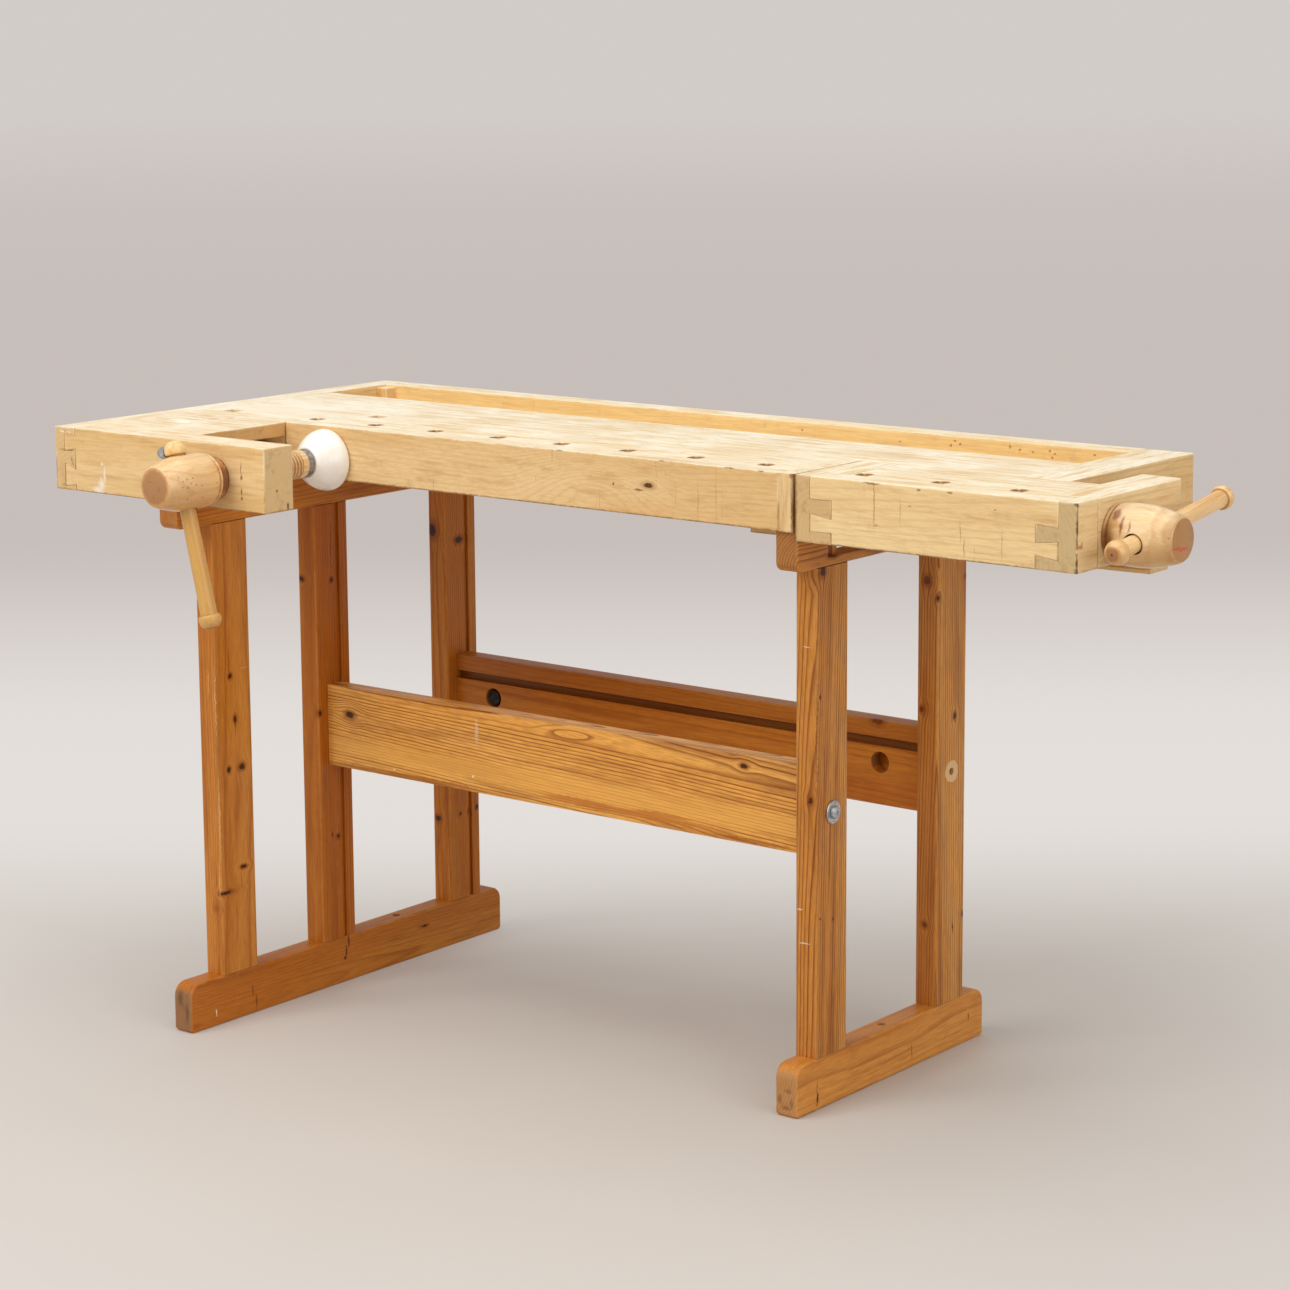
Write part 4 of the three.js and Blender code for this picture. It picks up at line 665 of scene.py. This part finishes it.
# A grime colour for the jaw's worn front edge, also used as painted shade in the tail vise's gap.
jaw_grime_and_gap_shade = tone(122, 76, 38)
beech("apron_end_jaw", (0, 0.05, 1), (0.03, 0, -0.05), (), [
    (on_front(apron_face, 0.006, (0.2886, 0.812, 0.0012, 0.06)), tone(196, 142, 82), 0.45, 0.5),
    (on_front(apron_face, 0.006, (0.309, 0.8, 0.0016, 0.024), (0.308, 0.848, 0.004, 0.003)), jaw_grime_and_gap_shade,
        0.6, 0.5),
    # Painted shade in the tail vise's gap, along the fixed jaw's front right corner.
    (on_front(apron_face, 0.007, (fixed_jaw, 0.81, 0.003, 0.06)), jaw_grime_and_gap_shade, 0.7, 0.8),
], pale=tone(238, 206, 154), deep=tone(228, 190, 132), late_strength=0.2, flame=0.1)

# Top board
# A thin beech board glued up behind the dog strip, stepped round the tail vise. Years of work have left it
# pale and scrubbed, with stains, dents and knife marks.

beech("top_board", (1, 0, 0), (0, 0, -0.09), (), [
    pale_left_end,
    (on_top(0.003, (0.301, 0.04, 0.0009, 0.036), (-0.31, 0.09, 0.05, 0.0008),
        (0.06, 0.17, 0.03, 0.0008), (-0.02, 0.055, 0.022, 0.0009)), tone(142, 94, 52), 0.6, 0.5),
    (on_top(0.003, (-0.45, 0.1, 0.03, 0.012), (-0.6, 0.06, 0.045, 0.01), (0.12, 0.06, 0.04, 0.012),
        (0.33, 0.15, 0.05, 0.014)), tone(222, 184, 128), 0.5, 0.8),
], scrub=0.95)

# Tool tray
# A sunk beech tray behind the top board: a thin floor between the front rail and the back rail, with one
# glue block in its left back corner.

beech("tray_front_rail", (1, 0, 0), (0, 0.02, -0.05))
beech("tray_floor", (1, 0, 0), (0, 0, -0.07))
rail_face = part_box("back_rail")[0].y
beech("back_rail", (1, 0, 0.01), (0, 0.04, -0.03), (), [
    ([((x, rail_face, z), (0.0016, 0.003, 0.0016)) for x, z in (
        (0.279, 0.843), (0.287, 0.84), (0.272, 0.837), (0.367, 0.8425), (0.3827, 0.839), (0.403, 0.838),
        (0.4295, 0.842), (0.4374, 0.838), (0.1888, 0.836), (0.0224, 0.839), (0.4988, 0.8415),
        (0.433, 0.833))], tone(158, 84, 40), 0.75, 0.5),
], pale=tone(246, 214, 152), deep=tone(238, 200, 131), late_strength=0.15, flame=0.08, mottle=0.25)
beech("tray_corner_block", (0, 0, 1), (0.02, 0.02, 0))

# End caps
# Beech battens across both ends of the top. The left one runs out to the front and ends in the pins of the
# shoulder vise's dovetails; the right one carries the tail vise's nut.

beam_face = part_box("shoulder_beam")[0].y
beech("left_end_cap", (0, 1, 0), (0.03, 0, -0.05), (), [
    pale_left_end,
    (on_front(beam_face, 0.004, (-0.793, 0.8178, 0.013, 0.0012), (-0.793, 0.7685, 0.013, 0.001),
        (-0.784, 0.805, 0.002, 0.002), (-0.781, 0.8, 0.001, 0.003)), tone(128, 92, 56), 0.7, 0.5),
    (on_front(beam_face, 0.004, (-0.796, 0.8435, 0.011, 0.0012)), tone(250, 236, 210), 0.8, 0.4),
], end=tone(218, 184, 132))
beech("right_end_cap", (0, 1, 0), (-0.04, 0, -0.05), pale=tone(240, 208, 154))

# Shoulder vise frame
# A heavy beech beam, dovetailed to the left end cap, stands off the apron, and a beech slab fills the corner
# between them.

beam_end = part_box("shoulder_beam")[1].x
beech("shoulder_beam", (1, 0, 0.01), (0, 0.06, -0.03), (), [
    (on_front(beam_face, 0.004, (-0.7235, 0.774, 0.005, 0.0085), (-0.717, 0.788, 0.0018, 0.011),
        (-0.722, 0.803, 0.002, 0.002), (-0.73, 0.766, 0.009, 0.004)), tone(250, 242, 230), 0.65, 0.8),
    (on_front(beam_face, 0.004, (-0.4463, 0.8175, 0.0007, 0.013), (-0.4458, 0.8075, 0.002, 0.0032),
        (-0.4462, 0.788, 0.0011, 0.0055), (-0.4464, 0.779, 0.0018, 0.0022)), tone(148, 88, 34), 0.85, 0.4),
    (on_side(beam_end, 0.004, (-0.2639, 0.7903, 0.0018, 0.0018), (-0.2437, 0.7673, 0.002, 0.005)),
        tone(88, 62, 36), 0.85, 0.4),
    lower_edge_shade_and_dirt("shoulder_beam"),
], end=tone(220, 186, 136), end_rings=0.1, late_strength=0.15, flame=0.08, round_over=0.0025)
beech("shoulder_slab", (1, 0, 0), (0, 0.02, -0.08), (), [
    (on_top(0.003, (-0.722, -0.083, 0.014, 0.006), (-0.689, -0.1, 0.007, 0.009),
        (-0.685, -0.071, 0.009, 0.005), (-0.712, -0.12, 0.016, 0.004), (-0.672, -0.085, 0.005, 0.007)),
        tone(216, 158, 104), 0.6, 0.7),
    (on_top(0.003, (-0.703, -0.148, 0.012, 0.008)), tone(255, 252, 244), 0.85, 0.6),
], scrub=0.95, end=tone(214, 164, 102))

# Shoulder vise screw
# A turned beech screw with a coarse wooden thread runs through the beam, past a dark wooden collar, and ends
# in a steel ferrule and a glossy white swivel pad.


def threaded(name, core, crest, start, end, middle, along):
    """A screw: a turned core with a ridge wound round it from start to end."""
    sides, pitch = 40, 0.006
    piece = turned(name, core, middle, along, sides)
    shape = bmesh.new()
    shape.from_mesh(piece.data)
    root = crest - 0.55 * pitch
    turn = laid(middle, along)
    rows = []
    for step in range(int((end - start) / pitch * sides)):
        angle = 2 * math.pi * step / sides
        foot = start + pitch * step / sides
        spots = ((root - 0.0005, 0.02), (crest, 0.38), (crest, 0.62), (root - 0.0005, 0.98))
        row = [turn @ Vector((r * math.cos(angle), r * math.sin(angle), foot + h * pitch)) for r, h in spots]
        rows.append([shape.verts.new(corner) for corner in row])
    for first, second in zip(rows, rows[1:]):
        for a, b in ((0, 1), (1, 2), (2, 3), (3, 0)):
            shape.faces.new((first[a], second[a], second[b], first[b])).smooth = True
    shape.faces.new(rows[0])
    shape.faces.new(reversed(rows[-1]))
    bmesh.ops.recalc_face_normals(shape, faces=shape.faces)
    shape.to_mesh(piece.data)
    shape.free()
    piece.data.set_sharp_from_angle(angle=math.radians(35))
    return piece


TURNED = dict(
    BEECH, pale=tone(246, 214, 160), deep=tone(234, 188, 122), late=tone(198, 138, 76),
    end=tone(172, 122, 76), speck=tone(112, 66, 32), speck_share=0.07, end_strength=0.9, edge_strength=0.0,
    scrub=0.0, scratch=0.0, wear=0.1, shine=0.24, gloss=0.5,
)
hub_low, hub_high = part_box("shoulder_hub")
screw_x, screw_z = (hub_low.x + hub_high.x) / 2, (hub_low.z + hub_high.z) / 2


def round_part(node):
    """Both ends, radius and length of a round part that lies along the shoulder screw."""
    low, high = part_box(node)
    ends = (Vector((screw_x, y, screw_z)) for y in (low.y, high.y))
    return *ends, (high.z - low.z) / 2, high.y - low.y


screw_start, _, _, screw_long = round_part("shoulder_screw")
screw_root = 0.0177
neck = 0.0169
plain_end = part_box("shoulder_ferrule")[0].y - screw_start.y - 0.0003
shoulder_screw = threaded("shoulder_screw_thread", [
    (0, 0), (screw_root, 0), (screw_root, plain_end - 0.0125), (0.0204, plain_end - 0.011),
    (0.0207, plain_end - 0.001), (0.0202, plain_end), (neck, plain_end + 0.0001),
    (neck, plain_end + 0.012), (0.009, plain_end + 0.0122), (0.009, screw_long), (0, screw_long),
], crest=0.021, start=0.02, end=plain_end - 0.0165, middle=screw_start, along=(0, 1, 0))
screw_wood = wood("beech_shoulder_screw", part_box("shoulder_screw"), (0, 1, 0), (0.01, 0, 0.02), TURNED)
fitted(shoulder_screw, "shoulder_spindle", screw_wood, "shoulder_screw")

start, _, radius, long = round_part("shoulder_ferrule")
ferrule = turned("shoulder_ferrule_ring", [
    (radius - 0.003, 0), (radius - 0.0006, 0), (radius, 0.0006), (radius, long - 0.0006),
    (radius - 0.0006, long), (radius - 0.003, long),
], start, (0, 1, 0))
dull_steel = steel("dull_steel", tone(188, 182, 178), tone(140, 132, 126), 0.34, 0.6)
fitted(ferrule, "shoulder_spindle", dull_steel, "shoulder_ferrule")

start, end, radius, long = round_part("shoulder_collar")
bore = 0.0214
dark_wood = wood("dark_collar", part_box("shoulder_collar"), (1, 0, 0), (0, 0, 0.03), dict(
    TURNED, pale=tone(204, 148, 98), deep=tone(178, 122, 74), late=tone(112, 68, 36), end=tone(130, 84, 50),
), (), [
    ([(rim, (0.1, 0.0022, 0.1)) for rim in (end, start)], tone(58, 32, 16), 0.85, 0.5),
])
collar = turned("shoulder_collar_ring", [
    (bore, 0), (radius - 0.0012, 0), (radius - 0.0002, 0.001), (radius, 0.004), (radius - 0.0008, 0.009),
    (radius - 0.0006, 0.013), (radius - 0.001, long - 0.0015), (radius - 0.0025, long), (bore, long),
], end, (0, -1, 0))
fitted(collar, "bench", dark_wood, "shoulder_collar")

_, end, radius, long = round_part("shoulder_pad")
PAD_DOME = (
    (0.0037, 0), (0.0016, 0.012), (0.0006, 0.035), (0, 0.09), (0, 0.14), (0.0002, 0.18), (0.0007, 0.24),
    (0.0017, 0.31), (0.0028, 0.375), (0.0041, 0.44), (0.0057, 0.51), (0.0075, 0.58), (0.0095, 0.645),
    (0.0117, 0.71), (0.0142, 0.775), (0.0167, 0.84), (0.0185, 0.885), (0.0199, 0.93), (0.0209, 0.965),
    (0.0217, 1.0),
)
pad = turned("shoulder_pad_face", [
    (0, 0), *((radius - inset, share * long) for inset, share in PAD_DOME), (0, long),
], end, (0, -1, 0), 96, 50.0)
pad_white, coordinates, shader = finish_named("white_pad")
spot = coordinates["Object"]
smudge = cloudy(spot, 45.0, 4.0, 0.6)
white = tint(fade(smudge, 0.35, 0.7), tone(248, 244, 236), tone(240, 231, 214))
grime = fade(cloudy(spot, 210.0, 4.0, 0.7), 0.6, 0.72, 0.0, 0.35)
white = tint(grime, white, tone(206, 190, 162))
dull = fade(smudge, 0.3, 0.7, 0.16, 0.34)
soft_bump = add("Bump", {"Strength": 0.1, "Distance": 0.0006, "Height": smudge}).outputs[0]
feed(shader, {"Base Color": white, "Roughness": dull, "Normal": soft_bump})
fitted(pad, "shoulder_foot_pad", pad_white, "shoulder_pad")

# Shoulder vise hub and handle
# A barrel-shaped turned beech hub on the screw's end, with a loose handle hanging through it. Each end of the
# handle has a turned knob; the upper one is held by a bolt with a cap nut.


def cut_hole(piece, radius, middle, along):
    """Bores a round hole right through a made piece."""
    cutter = turned("borer", [(0, -0.1), (radius, -0.1), (radius, 0.1), (0, 0.1)], middle, along, 48)
    cut = piece.modifiers.new("bored", "BOOLEAN")
    cut.operation = "DIFFERENCE"
    cut.solver = "EXACT"
    cut.object = cutter
    bpy.context.view_layer.update()
    made = bpy.data.meshes.new_from_object(piece.evaluated_get(bpy.context.evaluated_depsgraph_get()))
    piece.modifiers.clear()
    piece.data = made
    made.set_sharp_from_angle(angle=math.radians(35))
    bpy.data.objects.remove(cutter)


HUB_BARREL = (
    (0.0338, 0), (0.0352, 0.0006), (0.036, 0.0018), (0.0364, 0.0036), (0.0362, 0.005), (0.035, 0.0058),
    (0.0348, 0.0066), (0.035, 0.0074), (0.037, 0.0084), (0.0376, 0.0096),
)
HUB_SWELL = (
    (0.0381, 0.15), (0.0385, 0.22), (0.0388, 0.36), (0.0386, 0.44), (0.0383, 0.5), (0.0376, 0.58),
    (0.0364, 0.66), (0.035, 0.73), (0.0334, 0.8), (0.0316, 0.87), (0.0299, 0.93), (0.0289, 0.96),
    (0.0277, 0.98), (0.0266, 0.992), (0.0255, 1.0),
)


def vise_hub(name, length, back_middle, along, bore_middle, bore_along):
    bore = 0.0132
    barrel = [(0, 0), *HUB_BARREL, *((radius, share * length) for radius, share in HUB_SWELL), (0, length)]
    hub = turned(name, barrel, back_middle, along, 96, 40.0)
    cut_hole(hub, bore, bore_middle, bore_along)
    return hub


KNOB = (
    (0, 0), (0.0122, 0), (0.0138, 0.0005), (0.0149, 0.0018), (0.0154, 0.0036), (0.0155, 0.0056),
    (0.0153, 0.008), (0.0147, 0.0105), (0.0137, 0.013), (0.0122, 0.0151), (0.01, 0.017), (0.007, 0.0183),
    (0.0036, 0.0189), (0, 0.019),
)


def vise_handle(vise, pivot, along, near, span, thin, rod_wood, near_wood, knob_names):
    """A loose handle: a rod that thins towards its near end, with a knob turned on each end."""
    thick, socket, steps = 0.0115, 0.0117, 12
    far = near - span
    low, high = far - socket, near + socket
    shares = [step / steps for step in range(steps + 1)]
    swell = [(thick + (thin - thick) * share, low + (high - low) * share) for share in shares]
    rod = turned(vise + "_handle_rod", [(0, low), *swell, (0, high)], pivot, along, 48)
    body = vise + "_tommy_bar"
    fitted(rod, body, rod_wood, vise + "_handle")
    ends = (near, along, near_wood, "_handle_upper_knob"), (far, -along, rod_wood, "_handle_lower_knob")
    for name, (face, outward, knob_wood, node) in zip(knob_names, ends):
        knob = turned(vise + "_knob_" + name, KNOB, pivot + along * face, outward, 64, 45.0)
        fitted(knob, body, knob_wood, vise + node)


tilt = math.radians(14.2)
shoulder_up = Vector((-math.sin(tilt), 0, math.cos(tilt)))
hub_front, hub_back, _, hub_long = round_part("shoulder_hub")
bore_from_back = 0.043
shoulder_pivot = hub_back - Vector((0, bore_from_back, 0))
shoulder_hub = vise_hub("shoulder_hub_barrel", hub_long, hub_back, (0, -1, 0), shoulder_pivot, shoulder_up)
hub_dots = []
hub_radius = 0.036
for share, turn in (
    (0.83, 24), (0.78, 13), (0.71, 17), (0.65, 8), (0.61, 17), (0.79, 1), (0.71, -1), (0.57, 4), (0.43, -28),
    (0.46, 1), (0.69, -28), (0.16, 1),
):
    around = math.radians(turn)
    dot = Vector((hub_radius * math.cos(around), -share * hub_long, hub_radius * math.sin(around)))
    hub_dots.append((hub_back + dot, (0.005, 0.0011, 0.0011)))
hub_wood = wood("beech_shoulder_hub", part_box("shoulder_hub"), (0, 1, 0), (0.03, 0, -0.012), dict(
    TURNED, pale=tone(245, 217, 173), deep=tone(235, 195, 140), end=tone(206, 152, 96), shine=0.2,
    speck_share=0.16,
), (), [
    # Painted reflection and shade: the hub's lower half is tinted a deeper golden brown.
    ([(shoulder_pivot - Vector((0, 0, 0.04)), (0.08, 0.09, 0.036))], tone(204, 146, 78), 0.8, 0.7),
    ([(hub_back - Vector((0, 0.0068, 0)), (0.06, 0.0012, 0.06))], tone(120, 76, 38), 0.6, 0.6),
    (hub_dots, tone(134, 82, 40), 0.7, 0.4),
    ([(hub_front, (0.0235, 0.003, 0.0235))], tone(168, 118, 74), 0.85, 0.12),
    ([(hub_front + Vector((-0.01, 0, 0.006)), (0.005, 0.003, 0.0005)),
      (hub_front + Vector((0.008, 0, -0.002)), (0.0005, 0.003, 0.004)),
      (hub_front + Vector((-0.003, 0, -0.014)), (0.0006, 0.003, 0.003))], tone(100, 60, 30), 0.7, 0.5),
])
fitted(shoulder_hub, "shoulder_spindle", hub_wood, "shoulder_hub")

upper_face = 0.0391
handle_wood = wood(
    "beech_shoulder_handle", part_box("shoulder_handle"), shoulder_up, (0.006, 0.009, 0),
    dict(TURNED, pale=tone(234, 196, 124), deep=tone(206, 158, 84), shine=0.28, mottle=0.7),
)
# The upper knob's finish is paler than the handle's: a painted highlight where it catches the light from
# above.
knob_wood = wood(
    "beech_shoulder_knob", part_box("shoulder_handle_upper_knob"), shoulder_up, (0.006, 0.009, 0),
    dict(TURNED, pale=tone(254, 222, 162), deep=tone(248, 204, 138), end=tone(248, 206, 142), shine=0.16),
)
vise_handle(
    "shoulder", shoulder_pivot, shoulder_up, near=upper_face, span=0.22, thin=0.0103, rod_wood=handle_wood,
    near_wood=knob_wood, knob_names=("upper", "lower"),
)

bolt_side = Vector((-math.cos(tilt), 0, -math.sin(tilt)))
bolt_up, knob_radius = 0.006, 0.0155
bolt_seat = shoulder_pivot + shoulder_up * (upper_face + bolt_up) + bolt_side * knob_radius
cap_nut = turned("shoulder_cap_nut", [
    (0, -0.012), (0.004, -0.012), (0.004, 0), (0.0088, 0.0003), (0.0088, 0.0078), (0.0078, 0.0088),
    (0.0074, 0.0112), (0.0066, 0.0138), (0.0052, 0.016), (0.003, 0.0174), (0, 0.018),
], bolt_seat, bolt_side, 24, 30.0)
fitted(cap_nut, "shoulder_tommy_bar", zinc, "shoulder_knob_bolt")

# Tail vise carriage
# A dovetailed beech box with its own dog strip, which slides along the bench's right end. Jaw block and end
# block show their grey end grain in front, where their pins come through the beam.

vise_boards = dict(pale=tone(247, 221, 169), deep=tone(237, 204, 147), late_strength=0.25, flame=0.1)
vise_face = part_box("tail_beam")[0].y
vise_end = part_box("tail_end_block")[1].x
beech("tail_beam", (1, 0.03, -0.01), (0, 0.03, 0.03), (), [
    (on_front(vise_face, 0.004, (0.4337, 0.823, 0.0011, 0.028), (0.437, 0.7965, 0.003, 0.0012),
        (0.4725, 0.816, 0.0005, 0.017), (0.5605, 0.801, 0.0006, 0.014), (0.566, 0.781, 0.0009, 0.011),
        (0.62, 0.79, 0.0005, 0.02)), tone(168, 116, 62), 0.65, 0.5),
    (on_front(vise_face, 0.003, (0.43, 0.8485, 0.012, 0.0014), (0.5, 0.8465, 0.003, 0.0014),
        (0.545, 0.847, 0.004, 0.0016), (0.61, 0.832, 0.002, 0.0008), (0.487, 0.825, 0.003, 0.0007),
        (0.5, 0.766, 0.004, 0.0016)), tone(120, 76, 40), 0.7, 0.4),
    lower_edge_shade_and_dirt("tail_beam"),
], **vise_boards)
moving_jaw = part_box("tail_jaw_block")[0].x
hole_from_jaw = 0.0715
# Painted shade in the carriage's dog holes, with their worn rims.
vise_hole_shade_and_wear = dog_hole_shade_and_wear(moving_jaw + hole_from_jaw, hole_pitch, 3)
beech("tail_dog_strip", (1, 0, 0), (0, 0.04, -0.06), (), [vise_hole_shade_and_wear])
beech("tail_jaw_block", (0, 1, 0), (0.03, 0, -0.04), (), [
    # Painted shade in the tail vise's gap, along the moving jaw's front left corner.
    (on_front(vise_face, 0.007, (moving_jaw, 0.81, 0.0022, 0.06)), jaw_grime_and_gap_shade, 0.7, 0.8),
], end=tone(206, 172, 122))
joint_line = (on_side(vise_end, 0.004, (-0.0178, 0.81, 0.0007, 0.06)), tone(140, 96, 54), 0.6, 0.4)
beech("tail_end_block", (0, 1, 0), (-0.05, 0, -0.04), (), [
    joint_line,
    (on_front(vise_face, 0.0016, (vise_end, 0.81, 0.0016, 0.06)), tone(118, 88, 56), 0.7, 0.5),
    ([((vise_end, vise_face, z), size) for z, size in (
        (0.767, (0.004, 0.003, 0.005)), (0.848, (0.005, 0.003, 0.0022)), (0.777, (0.0022, 0.0022, 0.004)),
        (0.82, (0.002, 0.002, 0.009)))], tone(84, 58, 36), 0.7, 0.5),
    (on_front(vise_face, 0.0016, (vise_end, 0.7925, 0.0016, 0.0034)), tone(232, 212, 176), 0.85, 0.4),
    (on_side(vise_end, 0.004, (-0.0585, 0.7965, 0.006, 0.0022), (-0.0535, 0.8, 0.0014, 0.003)),
        tone(168, 92, 50), 0.75, 0.5),
], end=tone(196, 168, 122), **vise_boards)
beech("tail_screw_block", (0, 1, 0), (-0.06, 0, -0.05), (), [joint_line], **vise_boards)
beech("tail_top_plate", (1, 0, 0), (0, 0, -0.08), scrub=0.95)

# Tail vise runners
# A grooved beech guide bar under the carriage rides in the right bearer's notch, held down by a keeper under
# the top. The nut block on the end cap takes the screw.

beech("tail_guide_bar", (1, 0, 0), (0, 0.02, 0.04))
beech("tail_guide_keeper", (1, 0, 0), (0, 0.02, 0.05))
beech("tail_nut_block", (0, 1, 0), (0.02, 0, 0.03))

# Tail vise screw, hub and handle
# The same turned screw, hub and loose handle as on the shoulder vise, lying nearly level, with a dark collar
# that keeps the screw in the end block.

low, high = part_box("tail_screw")
tail_y, tail_z = (low.y + high.y) / 2, (low.z + high.z) / 2
long = high.x - low.x
screw_root = 0.0147
tail_screw = threaded("tail_screw_thread", [
    (0, 0), (screw_root, 0), (screw_root, long), (0, long),
], crest=0.018, start=0.002, end=long - 0.09, middle=Vector((low.x, tail_y, tail_z)), along=(1, 0, 0))
screw_wood = wood("beech_tail_screw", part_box("tail_screw"), (1, 0, 0), (0, 0.01, 0.02), TURNED)
fitted(tail_screw, "tail_spindle", screw_wood, "tail_screw")
dress("tail_screw_collar", dark_wood)

tail_tilt = math.radians(7.6)
tail_front = Vector((0, -math.cos(tail_tilt), -math.sin(tail_tilt)))
tail_low, tail_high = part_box("tail_hub")
tail_back = Vector((tail_low.x, tail_y, tail_z))
bore_from_back = 0.044
tail_pivot = tail_back + Vector((bore_from_back, 0, 0))
hub_long = tail_high.x - tail_low.x
tail_hub = vise_hub("tail_hub_barrel", hub_long, tail_back, (1, 0, 0), tail_pivot, tail_front)
hub_wood = wood("beech_tail_hub", (tail_low, tail_high), (1, 0, 0), (0, 0.02, -0.015), dict(
    TURNED, pale=tone(247, 225, 184), deep=tone(232, 196, 140), end=tone(176, 126, 74), shine=0.2,
    speck_share=0.15,
), (), [
    ([((0.803, -0.003, 0.788), (0.009, 0.012, 0.016)), ((0.806, 0.0, 0.812), (0.004, 0.012, 0.012))],
     tone(186, 130, 72), 0.5, 0.9),
    # Painted reflection and shade: the hub's lower half is tinted a deeper tan.
    ([(tail_pivot - Vector((0, 0, 0.045)), (0.09, 0.08, 0.034))], tone(200, 146, 84), 0.5, 0.7),
    ([((tail_low.x + 0.012, tail_y, tail_z), (0.011, 0.06, 0.06)),
      ((tail_high.x - 0.004, tail_y, tail_z), (0.006, 0.06, 0.06))], tone(172, 114, 58), 0.5, 0.8),
    ([((tail_low.x + 0.0068, tail_y, tail_z), (0.0012, 0.06, 0.06))], tone(120, 76, 38), 0.7, 0.6),
    (on_side(tail_high.x, 0.003, (0.008, 0.7948, 0.011, 0.0013), (0.026, 0.7918, 0.012, 0.0015)),
        tone(206, 60, 50), 0.9, 0.4),
    ([((0.733, -0.012, 0.797), (0.009, 0.014, 0.02)), ((0.741, 0.0, 0.83), (0.005, 0.012, 0.006)),
      ((0.752, -0.008, 0.818), (0.0022, 0.008, 0.012)), ((0.763, -0.006, 0.816), (0.002, 0.008, 0.008)),
      ((0.736, 0.012, 0.77), (0.012, 0.02, 0.01))], tone(128, 70, 28), 0.85, 0.5),
])
fitted(tail_hub, "tail_spindle", hub_wood, "tail_hub")

near_face = 0.067
handle_wood = wood(
    "beech_tail_handle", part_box("tail_handle"), tail_front, (0.008, 0, 0.006),
    dict(TURNED, deep=tone(240, 196, 134), shine=0.28),
)
knob_top = tail_pivot + tail_front * (near_face + KNOB[-1][1])
knob_wood = wood(
    "beech_tail_knob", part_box("tail_handle_upper_knob"), tail_front, (0.004, 0, 0.003),
    dict(TURNED, pale=tone(236, 194, 134), deep=tone(214, 166, 104), end=tone(206, 152, 92), shine=0.12), (),
    [([(knob_top, (0.0095, 0.006, 0.0095))], tone(146, 92, 48), 0.75, 0.3),
     ([(knob_top, (0.0016, 0.004, 0.0016))], tone(60, 34, 18), 0.9, 0.5)],
)
vise_handle(
    "tail", tail_pivot, tail_front, near=near_face, span=0.244, thin=0.0108, rod_wood=handle_wood,
    near_wood=knob_wood, knob_names=("front", "far"),
)
